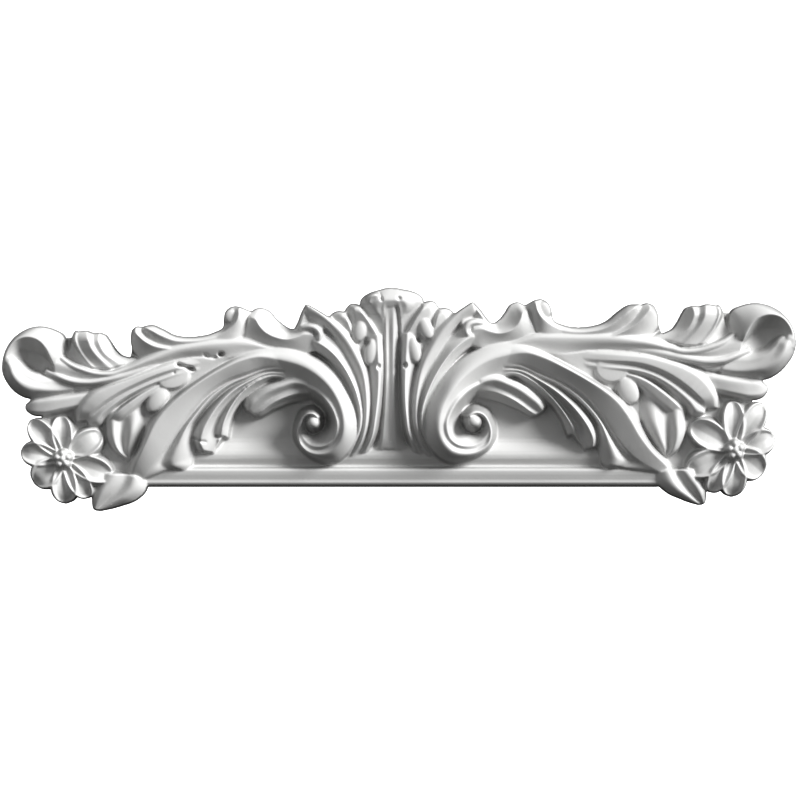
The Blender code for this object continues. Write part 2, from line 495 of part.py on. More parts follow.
def flower(relief):
    heart = np.array([328.0, 28.0])
    for tip, width in PETALS:
        axis = np.array(tip, float) - heart
        length = np.hypot(*axis)
        axis /= length
        side = np.array([-axis[1], axis[0]])
        shares = np.array([0.06, 0.3, 0.55, 0.78, 0.93, 1.0])
        half = np.array([0.2, 0.46, 0.6, 0.55, 0.34, 0.02]) * width
        rise = np.array([29, 33, 36, 35, 31, 25])
        rails = []
        for across, drop in ((1, 10), (0.84, 0), (0.5, 4.5), (0, 6), (-0.5, 4.5), (-0.84, 0), (-1, 10)):
            rails.append([(*(heart + axis * length * s + side * w * across), h - drop * min(1, w / 4))
                          for s, w, h in zip(shares, half, rise)])
        relief.skin(rails, [shoulder, swell, plain, plain, swell, cove])
    for i in range(5):
        a = i * 2 * np.pi / 5 + 0.3
        relief.knob((heart[0] + 5.6 * np.cos(a), heart[1] + 5.6 * np.sin(a)), 3.2, 42)
    relief.knob(heart, 3.2, 43)


def bud_leaf(relief):
    relief.skin([[(286, 82, 25), (285, 60, 26), (284.5, 50, 25), (281, 41, 24), (275, 33.5, 24),
                  (268, 29, 23), (262, 26, 23)],
                 [(278, 83, 29), (277.5, 62, 33), (277, 51, 34), (275, 42, 33), (271, 35, 31),
                  (266, 30, 27), (262, 26.5, 24)],
                 [(269, 85, 27), (269, 64, 28), (269, 54, 27), (268.5, 44, 26), (267, 36, 25),
                  (264, 30, 24), (261.5, 26.5, 23)],
                 [(258, 86, 28), (257.5, 66, 33), (259, 56, 34), (261, 46, 32), (263, 37, 29),
                  (262.5, 31, 26), (261.5, 27, 24)],
                 [(246, 88, 24), (247, 66, 26), (249, 56, 26), (253, 46, 25), (257, 37, 24),
                  (259.5, 31, 23), (261, 27, 23)]],
         [shoulder, swell, swell, cove])


def bottom_leaf(relief):
    relief.skin([[(288, 14, 26), (294, 4, 23), (298, -5, 22), (299.8, -14, 22), (298.5, -23, 22)],
                 [(276, 13, 32), (282, 3, 32), (288.5, -6, 31), (293.5, -15, 28), (297, -23, 24)],
                 [(265, 13, 27), (269, 3, 27), (276, -6, 26), (285, -14, 24), (296, -24, 22)],
                 [(256, 11, 31), (259, -1, 32), (267, -9.5, 31), (278, -15.5, 28), (293, -24, 23)],
                 [(245, 7, 25), (245, -3, 24), (254, -13, 23), (270, -19.5, 22), (291, -24.5, 22)]],
         [shoulder, swell, swell, cove])


def volute(relief):
    outer = turn_rail(EYE, TURNS, [88, 72.5, 61.8, 53.2, 47, 44.5, 43.5, 44.1, 45, 44.8, 40.1, 35, 29.5, 24,
                                   19.8,
                                   16.7, 14.7, 14, 12.3, 9.3],
                       [34, 34, 34, 34, 35, 37, 38, 35, 31, 27, 24, 22, 22, 23, 24, 26, 29, 33, 38, 43])
    crest = turn_rail(EYE, TURNS, [73.5, 56.5, 44.5, 36.9, 32.2, 30, 29.6, 30.5, 31.6, 32.5, 31.2, 29, 25.3,
                                   20.3,
                                   16, 13.6, 12, 10.3, 8.5, 6],
                       [42, 45, 49, 52, 53, 54, 54, 52, 48, 44, 40, 37, 36, 37, 39, 41, 44, 47, 49, 50])
    groove = turn_rail(EYE, TURNS, [49, 39.9, 33.6, 29.3, 26.7, 25.5, 26, 27.2, 28.2, 28.2, 27.3, 25.8, 23,
                                    18.6,
                                    15.5, 13.1, 11.5, 9.8, 8.2, 6],
                        [30, 36, 42, 47, 49, 50, 51, 49, 45, 41, 37, 34, 33, 35, 37, 40, 43.5, 46.5, 49, 50])
    rim = turn_rail(EYE, TURNS, [45, 36.7, 30, 25.3, 23, 22.2, 22.8, 23.6, 24.9, 25.2, 23.9, 21.8, 18.8,
                                 16.4, 14.6,
                                 12.6, 11, 9.5, 8, 6],
                     [32, 38, 44, 49, 51, 52, 53, 51, 47, 44, 40, 36, 35, 36, 38, 40, 43, 46, 49, 50])
    valley = turn_rail(EYE, TURNS, [32, 24, 17.5, 13.5, 11.6, 10.9, 10.8, 11.1, 11.4, 11.8, 12.2, 12.6,
                                    12.4, 11.3,
                                    10.2, 9.5, 8.4, 8, 7, 6],
                        [15, 15, 14, 14, 15, 17, 19, 21, 23, 24, 25, 26, 27, 29, 31, 33, 36, 40, 44, 48])
    relief.skin([outer, crest, groove, rim, valley], [shoulder, plain, plain, plain])
    relief.knob((77.5, 64.5), 5.4, 50.5, 0.8)


def fan(relief):
    """The blades that spring from the foot of the centre."""
    # Central stem
    relief.skin([[(9, 182, 30), (8, 150, 28), (6.5, 120, 27), (7.5, 90, 26), (10, 65, 22), (14, 45, 18),
                  (19, 36, 17)],
             [(6, 182, 36), (5.5, 150, 34), (5, 120, 33), (5.5, 90, 31), (7, 65, 28), (9, 45, 24),
              (10, 37, 20)],
             [(0, 182, 37), (0, 150, 35), (0, 120, 34), (0, 90, 33), (0, 65, 31), (0, 45, 27), (0, 38, 23)],
             [(-6, 182, 36), (-5.5, 150, 34), (-5, 120, 33), (-5.5, 90, 31), (-7, 65, 28), (-9, 45, 24),
              (-10, 37, 20)]],
         [plain, plain, plain], halves='L')
    relief.skin([[(9, 182, 30), (8, 150, 28), (6.5, 120, 27), (7.5, 90, 26), (10, 65, 22), (14, 45, 18),
                  (19, 36, 17)],
             [(6, 182, 36), (5.5, 150, 34), (5, 120, 33), (5.5, 90, 31), (7, 65, 28), (9, 45, 24),
              (10, 37, 20)]],
         [plain], halves='R')
    # Innermost blade: groove, crest, valley
    relief.skin([[(8, 152, 29), (7, 130, 29), (7.5, 110, 29), (9, 90, 29), (11.5, 70, 28), (15, 52, 25),
                  (22, 36, 19)],
             [(14, 152, 38), (13, 130, 40), (12.5, 110, 41), (13.5, 90, 41), (16, 70, 40), (19, 52, 36),
              (27, 34, 22)],
             [(24, 152, 33), (22, 130, 33), (20.5, 110, 33), (19.5, 90, 33), (20, 70, 32), (24, 50, 29),
              (33, 33, 20)]],
         [shoulder, plain])
    # Second blade
    relief.skin([[(80, 181, 40), (62, 170, 37), (45, 157, 35), (32, 138, 34), (24, 118, 33),
                  (20.5, 98, 33), (19.8, 78, 32),
              (22, 58, 29), (30, 38, 22), (37, 31, 18)],
             [(85, 183, 42), (65, 169, 42), (48, 152, 42), (36, 133, 42), (28, 115, 42), (25, 96, 42),
              (24.5, 76, 41),
              (26.5, 58, 38), (33, 40, 29), (40, 31, 22)],
             [(84, 170, 36), (66, 160, 35), (52, 143, 35), (42, 127, 35), (34, 110, 35), (29.5, 94, 36),
              (28, 78, 36),
              (29.5, 60, 33), (36, 42, 26), (42, 32, 20)]],
         [shoulder, cove])
    # First blade
    relief.skin([[(76, 160, 36), (64, 152, 35), (52, 143, 35), (42, 127, 35), (34, 110, 35),
                  (29.5, 94, 36), (28, 78, 36),
              (28.5, 60, 34), (34, 44, 27), (41, 32, 21)],
             [(78, 146, 40), (68, 141, 43), (58, 133, 45), (48, 121, 46), (40, 107, 47), (34, 92, 47),
              (30.5, 76, 46),
              (31, 60, 42), (37, 43, 33), (43, 32, 24)],
             [(80, 138, 34), (72, 134, 34), (62, 126, 34), (53, 115, 34), (45, 103, 35), (39, 90, 36),
              (34.5, 76, 37),
              (33.5, 60, 37), (39, 43, 31), (46, 30, 24)]],
         [cove, shoulder])


def air_holes(relief):
    """Holes and nicks that trapped air left in this casting."""
    relief.cut([(168.5, 133), (171.5, 132.5)], 2.2, 7, 'L')
    relief.cut([(187, 132.5), (181, 129.5), (174, 129.5)], 1.2, 2, 'L')
    relief.cut([(214, 123), (206, 120.5), (197, 117)], 1.8, 5, 'L')
    relief.cut([(216.3, 114), (216.8, 114)], 1.1, 3, 'L')
    relief.cut([(12, 122), (12, 118)], 1.7, 5)
    relief.cut([(23, 146), (25, 142)], 1.4, 4)
    relief.cut([(7, 188.5), (8, 187.5)], 2.2, 4, 'R')
    relief.cut([(198, 49), (192, 46), (185, 45)], 1.3, 1.8, 'L')
    relief.cut([(176, 51), (170, 49.5)], 1.3, 1.8, 'L')


FORMS = (moulding, bed, volute, fan, crest_dome, end_scroll, stem, leaf_one, leaf_two, curl_one, curl_two,
         blade_tip, small_lobes, big_leaf, finger, wide_lobes, flower, bud_leaf, bottom_leaf, air_holes)


def soften(values, spread):
    """A Gaussian blur; the spread is in cells."""
    reach = int(np.ceil(3 * spread))
    weights = np.exp(-0.5 * (np.arange(-reach, reach + 1) / spread)**2)
    weights /= weights.sum()
    for axis in (0, 1):
        pad = [(reach, reach) if axis == i else (0, 0) for i in (0, 1)]
        padded = np.pad(values, pad, mode='edge')
        length = values.shape[axis]
        values = sum(weight * np.take(padded, range(i, i + length), axis) for i, weight in enumerate(weights))
    return values


def add_flanks(height, cell):
    """Give every form a steep side down to what lies behind it."""
    drops = [(di, dj, FLANK_SLOPE * cell * np.hypot(di, dj)) for di in (-1, 0, 1) for dj in (-1, 0,
                                                                                             1) if di or dj]
    for _ in range(int(FLANK_REACH / cell)):
        padded = np.pad(height, 1, mode='edge')
        for di, dj, drop in drops:
            beside = padded[1 + di:1 + di + height.shape[0], 1 + dj:1 + dj + height.shape[1]]
            height = np.maximum(height, beside - drop)
    return height


def carve():
    """The finished heights, and how far each place is inside the outline (over a half is inside)."""
    relief = Relief(CELL, shift_right())
    for form in FORMS:
        form(relief)
    inside = soften((relief.height > -900).astype(float), SOFTNESS / CELL)
    height = np.maximum(add_flanks(relief.height, CELL) - relief.sunk, LEAST_HEIGHT)
    height = soften(height, SOFTNESS / CELL)
    return relief, height, inside


def whole_cells(inside):
    """Grid cells with all corners inside, none of them touching another at a corner only."""
    node = inside > 0.5
    cells = node[:-1, :-1] & node[1:, :-1] & node[1:, 1:] & node[:-1, 1:]
    while True:
        rising = cells[:-1, :-1] & cells[1:, 1:] & ~cells[1:, :-1] & ~cells[:-1, 1:]
        falling = ~cells[:-1, :-1] & ~cells[1:, 1:] & cells[1:, :-1] & cells[:-1, 1:]
        if not (rising.any() or falling.any()):
            return cells
        cells[1:, 1:][rising] = False
        cells[1:, :-1][falling] = False


def front_mesh():
    """The carved face as an open mesh, its rim moved on to the outline."""
    relief, height, inside = carve()
    cells = whole_cells(inside)
    x = relief.left + np.arange(relief.across)[:, None] * CELL + np.zeros(inside.shape)
    y = relief.bottom + np.arange(relief.up)[None, :] * CELL + np.zeros(inside.shape)
    padded = np.pad(cells, 1)
    around = (padded[:-1, :-1].astype(int) + padded[1:, :-1] + padded[1:, 1:] + padded[:-1, 1:])
    rim = (around > 0) & (around < 4)
    steep_x, steep_y = np.gradient(inside, CELL)
    steepness = np.hypot(steep_x, steep_y) + 1e-6
    step = np.clip((inside - 0.5) / steepness, -0.8 * CELL, 0.8 * CELL) * rim
    x, y = x - step * steep_x / steepness, y - step * steep_y / steepness
    index = np.full(inside.shape, -1)
    index[around > 0] = np.arange((around > 0).sum())
    i, j = np.nonzero(cells)
    quads = np.stack([index[i, j], index[i + 1, j], index[i + 1, j + 1], index[i, j + 1]], -1)
    used = around > 0
    points = np.stack([(x[used] - DRAWN_CENTRE[0]) * UNIT, -height[used] * RISE,
                       (y[used] - DRAWN_CENTRE[1]) * UNIT], -1)
    mesh = bpy.data.meshes.new('front')
    mesh.from_pydata(points.tolist(), [], quads.tolist())
    return mesh


def smooth_rim(mesh):
    """Even out the steps that the grid leaves along the outline."""
    edge_use = {}
    for face in mesh.polygons:
        for key in face.edge_keys:
            edge_use[key] = edge_use.get(key, 0) + 1
    rim = np.array([key for key, count in edge_use.items() if count == 1])
    place = np.array([corner.co[:] for corner in mesh.vertices])
    for _ in range(RIM_ROUNDS):
        total = np.zeros_like(place)
        np.add.at(total, rim[:, 0], place[rim[:, 1]])
        np.add.at(total, rim[:, 1], place[rim[:, 0]])
        ring = np.unique(rim)
        place[ring] = 0.5 * place[ring] + 0.25 * total[ring]
    mesh.vertices.foreach_set('co', place.ravel())
    return mesh


def thin_out(mesh, triangles):
    """Fewer triangles, kept where the carving bends."""
    carrier = bpy.data.objects.new('front', mesh)
    bpy.context.collection.objects.link(carrier)
    modifier = carrier.modifiers.new('thin', 'DECIMATE')
    modifier.ratio = triangles / sum(len(face.vertices) - 2 for face in mesh.polygons)
    shape = carrier.evaluated_get(bpy.context.evaluated_depsgraph_get())
    thinned = bpy.data.meshes.new_from_object(shape)
    bpy.data.objects.remove(carrier)
    return thinned


def close_behind(mesh):
    """Straight sides down to a flat back."""
    shell = bmesh.new()
    shell.from_mesh(mesh)
    rim = [edge for edge in shell.edges if edge.is_boundary]
    sides = bmesh.ops.extrude_edge_only(shell, edges=rim)['geom']
    for corner in sides:
        if isinstance(corner, bmesh.types.BMVert):
            corner.co.y = 0.0
    bmesh.ops.triangle_fill(shell, use_beauty=True, edges=[edge for edge in shell.edges if edge.is_boundary])
    bmesh.ops.triangulate(shell, faces=shell.faces[:])
    bmesh.ops.recalc_face_normals(shell, faces=shell.faces[:])
    shell.to_mesh(mesh)
    shell.free()
    return mesh


def press_flat(mesh):
    """Put the corners that lie on the wall exactly on it."""
    for corner in mesh.vertices:
        if corner.co.y > -0.3 * LEAST_HEIGHT * RISE:
            corner.co.y = 0.0
    return mesh


def casting_material():
    material = bpy.data.materials.new('casting')
    material.use_nodes = True
    shader = material.node_tree.nodes['Principled BSDF']
    shader.inputs['Base Color'].default_value = WHITE
    shader.inputs['Roughness'].default_value = 0.6
    return material


def main():
    for old in list(bpy.data.objects):
        bpy.data.objects.remove(old)
    mesh = press_flat(thin_out(close_behind(thin_out(smooth_rim(front_mesh()), FRONT_TRIANGLES)),
                               ALL_TRIANGLES))
    mesh.name = 'centrepiece'
    mesh.materials.append(casting_material())
    centrepiece = bpy.data.objects.new('centrepiece', mesh)
    bpy.context.collection.objects.link(centrepiece)


main()
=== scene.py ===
"""The panel moulding centrepiece at full fineness, on a white ground in low light from the upper right.

Every form of the carving is a skin stretched over a few rails. A rail is a curve of points
(out from the middle, up from the moulding's lower edge, height over the flat back), in drawn
units. Where skins overlap, the highest one counts. The left half is drawn. The right half is
the same drawing shifted a little, because the model was carved by hand.
"""
import math

import bmesh
import bpy
import numpy as np
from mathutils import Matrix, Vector


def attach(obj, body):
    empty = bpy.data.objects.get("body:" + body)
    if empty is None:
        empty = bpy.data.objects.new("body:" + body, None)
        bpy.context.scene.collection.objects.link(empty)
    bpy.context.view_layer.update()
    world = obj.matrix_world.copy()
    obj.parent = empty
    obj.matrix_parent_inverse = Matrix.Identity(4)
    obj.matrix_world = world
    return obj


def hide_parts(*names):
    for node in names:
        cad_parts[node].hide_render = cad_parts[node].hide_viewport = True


# The casting's own size, in metres
LENGTH = 0.610
PROJECTION = 0.0414

# The drawing's size and middle, in drawn units, and what one unit is worth along and out of the wall
DRAWN_LENGTH = 797.0
DRAWN_PROJECTION = 54.0
DRAWN_CENTRE = (7.5, 87.0)
UNIT = LENGTH / DRAWN_LENGTH
RISE = PROJECTION / DRAWN_PROJECTION

# The grid that the forms are laid on, in drawn units
GRID_LEFT = -396.0
GRID_BOTTOM = -34.0
GRID_ACROSS = 808
GRID_UP = 240
EMPTY = -1000.0
CELL = 0.6
NET_DENSITY = 1.15
MOULDING_DENSITY = 1.2
OVAL_POINTS = 17
SHIFT_STIFFNESS = 200.0
FRONT_TRIANGLES = 180000

# Inner flanks, softness of edges, the leaves' ground, the moulding's flat field, the side wall's lean
FLANK_SLOPE = 4.0
FLANK_REACH = 12.0
LEAST_HEIGHT = 8.0
RIM_ROUNDS = 3
SOFTNESS = 0.8
BED = 13
FIELD_TOP = 90
DRAFT_SHARE = 0.45
WALL_FOOT = 9.0

# What counts as inside, how far the rim may move in cells, what lies on the wall, what faces the front
OUTLINE_SHARE = 0.5
RIM_STEP = 0.8
NEAR_WALL = 0.3
FRONT_TURN = 0.05

# The volute: its eye, and the turns of its rails in degrees
EYE = (77, 64)
TURNS = [*range(120, -181, -20), -210, -240, -270, -310]

# The view: the picture's width and middle in drawn units, distances in metres
PHOTO_WIDTH = 800.0
PHOTO_MIDDLE = 9.0
CAMERA_AWAY = 4.0
SEEN_PLANE = 0.022
SENSOR = 36.0

# The light, its angles in degrees: turned up from the right, and raised off the wall
KEY_TURN = 33.0
KEY_HEIGHT = 27.0
KEY_WIDTH = 24.0
KEY_STRENGTH = 3.3
GROUND_GLOW = 0.40
BACKDROP_GLOW = 1.1
WHITE = (1, 1, 1, 1)

# Tones of the primer, of the painted shade on its steep flanks and of the floor
DARKER_PRIMER = (0.60, 0.60, 0.595, 1)
LIGHTER_PRIMER = (0.66, 0.66, 0.655, 1)
FLANK_SHADE_TONE = (0.2, 0.2, 0.198, 1)
FLOOR_TONE = (0.05, 0.05, 0.05, 1)
FLOOR_RADIUS = 3.0
FLOOR_DROP = 0.6

# The primer's clouds, grain and gloss, and how far the surface turns from the wall under the painted flank
# shade
CLOUD_SCALE = 14
GRAIN_SCALE = 420
GRAIN_STRENGTH = 0.12
GRAIN_DEPTH = 0.0004
LEAST_ROUGH = 0.5
MOST_ROUGH = 0.68
FLANK_SHADE_FULL = 0.08
FLANK_SHADE_ENDS = 0.42


def rail(points, steps):
    """A smooth curve through the points, with the same number of steps between each two."""
    p = np.asarray(points, float)
    gaps = np.linalg.norm(np.diff(p[:, :2], axis=0), axis=1)[:, None] + 1e-6
    slopes = np.diff(p, axis=0) / gaps
    inner = (slopes[:-1] * gaps[1:] + slopes[1:] * gaps[:-1]) / (gaps[:-1] + gaps[1:])
    tangents = np.vstack([slopes[:1], inner, slopes[-1:]])
    if len(p) > 2:
        tangents[0] = 1.5 * slopes[0] - 0.5 * tangents[1]
        tangents[-1] = 1.5 * slopes[-1] - 0.5 * tangents[-2]
    t = (np.arange(steps) / steps)[None, :, None]
    start, end = p[:-1, None], p[1:, None]
    leave, arrive = (tangents[:-1] * gaps)[:, None], (tangents[1:] * gaps)[:, None]
    dense = (start * (2 * t**3 - 3 * t**2 + 1) + leave * (t**3 - 2 * t**2 + t)
             + end * (3 * t**2 - 2 * t**3) + arrive * (t**3 - t**2))
    return np.vstack([dense.reshape(-1, p.shape[1]), p[-1:]])


def plain(t):
    return t


def swell(t):
    return (1 - np.cos(np.pi * t)) / 2


def shoulder(t):
    return np.sin(np.pi * t / 2)


def cove(t):
    return 1 - np.cos(np.pi * t / 2)


class Relief:
    """Heights on a square grid, raised by one form after another."""

    def __init__(self, cell, shift):
        self.cell = cell
        self.shift = shift
        self.left, self.bottom = GRID_LEFT, GRID_BOTTOM
        self.across = int(round(GRID_ACROSS / cell)) + 1
        self.up = int(round(GRID_UP / cell)) + 1
        self.height = np.full((self.across, self.up), EMPTY)
        self.sunk = np.zeros((self.across, self.up))

    def raise_to(self, triangles):
        """Lift the grid to the triangles, each three corners of x, y in cells and height."""
        low = np.ceil(triangles[:, :, :2].min(1) - 1e-9).astype(int)
        span = np.floor(triangles[:, :, :2].max(1) + 1e-9).astype(int) - low
        a, b, c = triangles[:, 0], triangles[:, 1], triangles[:, 2]
        twice_area = (b[:, 0] - a[:, 0]) * (c[:, 1] - a[:, 1]) - (c[:, 0] - a[:, 0]) * (b[:, 1] - a[:, 1])
        keep = (span >= 0).all(1) & (np.abs(twice_area) > 1e-9)
        a, b, c, twice_area, low, span = (values[keep] for values in (a, b, c, twice_area, low, span))
        if not len(a):
            return
        for i in range(span[:, 0].max() + 1):
            for j in range(span[:, 1].max() + 1):
                use = (span[:, 0] >= i) & (span[:, 1] >= j)
                p, q, r, area = a[use], b[use], c[use], twice_area[use]
                x, y = low[use, 0] + i, low[use, 1] + j
                dx, dy = x - p[:, 0], y - p[:, 1]
                to_q = (dx * (r[:, 1] - p[:, 1]) - dy * (r[:, 0] - p[:, 0])) / area
                to_r = (dy * (q[:, 0] - p[:, 0]) - dx * (q[:, 1] - p[:, 1])) / area
                inside = (to_q >= -1e-6) & (to_r >= -1e-6) & (to_q + to_r <= 1 + 1e-6)
                inside &= (x >= 0) & (x < self.across) & (y >= 0) & (y < self.up)
                height = p[:, 2] + to_q * (q[:, 2] - p[:, 2]) + to_r * (r[:, 2] - p[:, 2])
                np.maximum.at(self.height, (x[inside], y[inside]), height[inside])

    def raise_net(self, x, y, height):
        """Lift the grid to a net of places, with two triangles in each of its meshes."""
        net = np.stack([(x - self.left) / self.cell, (y - self.bottom) / self.cell, height], -1)
        a, b, c, d = net[:-1, :-1], net[1:, :-1], net[1:, 1:], net[:-1, 1:]
        self.raise_to(np.concatenate([np.stack([a, b, c], -2).reshape(-1, 3, 3),
                                      np.stack([a, c, d], -2).reshape(-1, 3, 3)]))

    def lay(self, out, up, height, halves='LR'):
        """Lay a net of points on the left half, the right half or both."""
        for half in halves:
            x, y = (-out, up) if half == 'L' else self.shift(out, up)
            self.raise_net(x, y, height)

    def skin(self, rails, shapes, halves='LR'):
        """A surface over the rails, with one shape for each gap between two of them."""
        stretch = max(np.linalg.norm(np.diff(np.asarray(r, float)[:, :2], axis=0),
                                     axis=1).max() for r in rails)
        steps = int(stretch / self.cell * NET_DENSITY) + 2
        lines = [rail(points, steps) for points in rails]
        strips = []
        for a, b, shape in zip(lines, lines[1:], shapes):
            width = np.linalg.norm(a[:, :2] - b[:, :2], axis=1).max()
            t = np.linspace(0, 1, int(width / self.cell * NET_DENSITY) + 3)[None, :, None]
            strip = a[:, None] * (1 - t) + b[:, None] * t
            share = shape(t[..., 0])
            strip[..., 2] = a[:, 2:3] * (1 - share) + b[:, 2:3] * share
            strips.append(strip if not strips else strip[:, 1:])
        net = np.concatenate(strips, axis=1)
        self.lay(net[..., 0], net[..., 1], net[..., 2], halves)

    def level(self, one_edge, other_edge, height):
        """A level patch between two edges."""
        self.skin([[(out, up, height) for out, up in edge] for edge in (one_edge, other_edge)], [plain])

    def roll(self, line, radius):
        """A rounded cord laid along a line."""
        p = np.asarray(line, float)
        along = np.gradient(p[:, :2], axis=0)
        along /= np.linalg.norm(along, axis=1)[:, None]
        side = np.column_stack([-along[:, 1], along[:, 0]]) * radius
        rails = [np.column_stack([p[:, :2] + side * across, p[:, 2] - radius * drop])
                 for across, drop in ((1, 1), (0.7, 0.28), (0, 0), (-0.7, 0.28), (-1, 1))]
        self.skin(rails, [plain] * 4)

    def ring(self, centre, length, width, turn, steps):
        """An oval form: each step is a share of its size and the height there."""
        angles = np.linspace(0, 2 * np.pi, OVAL_POINTS)
        rails = []
        for share, height in steps:
            x, y = length * share * np.cos(angles), width * share * np.sin(angles)
            rails.append(np.column_stack([centre[0] + x * np.cos(turn) - y * np.sin(turn),
                                          centre[1] + x * np.sin(turn) + y * np.cos(turn),
                                          np.full(len(angles), height)]))
        self.skin(rails, [plain] * (len(steps) - 1))

    def cut(self, line, radius, depth, halves='LR'):
        """A rounded hole or nick along a line, taken out of the finished heights."""
        kept, self.height = self.height, self.sunk
        p = np.asarray(line, float)
        along = np.gradient(p, axis=0)
        along /= np.linalg.norm(along, axis=1)[:, None]
        side = np.column_stack([-along[:, 1], along[:, 0]]) * radius
        ends = np.vstack([p[:1] - along[:1] * radius, p, p[-1:] + along[-1:] * radius])
        reach = np.vstack([side[:1] * 0.05, side, side[-1:] * 0.05])
        deep = np.concatenate([[0], np.full(len(p), depth), [0]])
        rails = [np.column_stack([ends + reach * across, deep * share])
                 for across, share in ((1, 0), (0.5, 0.85), (0, 1), (-0.5, 0.85), (-1, 0))]
        self.skin(rails, [plain] * 4, halves)
        self.height, self.sunk = kept, self.height

    def knob(self, centre, radius, height, bulge=1.0, stretch=1.0, turn=0.0):
        """A rounded boss."""
        shares = np.sin(np.linspace(np.pi / 2, 0.2, 6))
        steps = [(s, height - bulge * radius * (1 - np.sqrt(1 - s * s))) for s in (*shares, 0.0)]
        self.ring(centre, radius * stretch, radius, turn, steps)


def shift_right():
    """The right half's own drawing: each place on it is shifted by its neighbours' known shifts."""
    shifts = [((390, 125), (16, 22)), ((352, 161), (15, 23)), ((316, 157), (12, 26)),
              ((260, 130), (10, 24)), ((248, 162), (0, 22)), ((160, 171), (-7, 7)), ((96, 159), (3, 6)),
              ((84, 183), (-3, 2)), ((38, 183), (1.5, 3)), ((77, 64), (5, 1)), ((34, 64), (0, 0)),
              ((0, 190), (0, 0)), ((0, 30), (0, 0)), ((50, 26), (1, 0)), ((147, 80), (8, 0)),
              ((219, 20), (7, 1)), ((181, 32), (16, 4)), ((216, 110), (4, 7)), ((240, 73), (2, 9)),
              ((266, 30), (12, 2)), ((250, 8), (21, 7)), ((367, 80), (11, 18)), ((328, 28), (16, 9)),
              ((296, -25), (16, 6))]
    places = np.array([place for place, _ in shifts], float)
    moves = np.array([move for _, move in shifts], float)
    count = len(places)

    def bend(squared):
        return squared * np.log(squared + 1e-9)

    system = np.zeros((count + 3, count + 3))
    system[:count, :count] = bend(((places[:, None] - places[None])**2).sum(-1))
    system[:count, :count] += np.eye(count) * SHIFT_STIFFNESS
    system[:count, count] = 1
    system[:count, count + 1:] = places
    system[count:, :count] = system[:count, count:].T
    weights = np.linalg.solve(system, np.vstack([moves, np.zeros((3, 2))]))

    def shift(out, up):
        at = np.stack([np.ravel(out), np.ravel(up)], -1).astype(float)
        moved = at + weights[count] + at @ weights[count + 1:]
        for place, weight in zip(places, weights[:count]):
            moved = moved + bend(((at - place)**2).sum(-1))[:, None] * weight
        return moved[:, 0].reshape(np.shape(out)), moved[:, 1].reshape(np.shape(up))
    return shift


def moulding(relief):
    """The run of panel moulding: round band, quirk, cove and flat field, cut at both ends."""
    profile = np.array([(0, 20), (2, 22.6), (4, 24.4), (7, 24), (12, 25.3), (16, 25.9), (18, 25.3),
                        (18.9, 22.5), (19.3, 17), (20, 16.5), (22, 16), (24, 17.2), (28, 19.6), (32, 20),
                        (36, 18.8), (40, 16.4), (44, 13.6), (48, 12.2), (52, 12), (FIELD_TOP, 12)], float)
    up = np.linspace(0, FIELD_TOP, int(FIELD_TOP / relief.cell * MOULDING_DENSITY))
    for half, end in (('L', 247), ('R', 268)):
        out = np.linspace(-2, end, int(end / relief.cell * MOULDING_DENSITY))
        net_out, net_up = np.meshgrid(out, up, indexing='ij')
        height = np.interp(net_up, profile[:, 0], profile[:, 1])
        relief.raise_net(-net_out if half == 'L' else net_out, net_up, height)


def turn_rail(centre, angles, radii, heights):
    """A rail that turns round a centre; 0 degrees points out, away from it."""
    angle = np.radians(angles)
    radius = np.array(radii, float)
    return np.column_stack([centre[0] - radius * np.cos(angle), centre[1] + radius * np.sin(angle), heights])


def bed(relief):
    """The ground that the leaves lie on, inside the outline."""
    upper = [(0, 190), (14, 190), (27, 184), (38, 177), (50, 170), (64, 162), (84, 174), (97, 154),
             (116, 160), (130, 172), (145, 172), (158, 172), (163, 158), (182, 150), (205, 147), (228, 154),
             (245, 157), (256, 148), (264, 124), (290, 148), (312, 150), (325, 149), (345, 150), (362, 140),
             (372, 120)]
    lower = [(0, 80), (14, 80), (27, 80), (38, 80), (50, 80), (64, 80), (84, 84), (97, 84), (116, 84),
             (130, 84), (145, 84), (158, 84), (163, 80), (182, 60), (205, 60), (228, 50), (240, 50),
             (250, 50), (264, 60), (290, 66), (312, 70), (325, 74), (345, 78), (358, 84), (366, 100)]
    relief.level(upper, lower, BED)
    outer = [(350, 90), (346, 76), (352, 66), (352, 48), (358, 37), (350, 26), (350, 8), (336, 2),
             (322, -10), (302, -8), (297, -18)]
    inner = [(248, 90), (246, 76), (244, 66), (244, 48), (248, 37), (254, 26), (250, 10), (250, 2),
             (250, -4), (262, -12), (282, -18)]
    relief.level(outer, inner, BED + 6)
    relief.level([(150, 126), (200, 122), (250, 104), (296, 84)],
                 [(165, 105), (215, 80), (245, 60), (264, 62)], 25)
    relief.level([(8, 150), (18, 178), (34, 178), (52, 172), (84, 172)],
                 [(8, 120), (22, 120), (36, 140), (52, 150), (76, 148)], 30)
    relief.level([(130, 170), (150, 168)], [(124, 140), (160, 142)], 27)


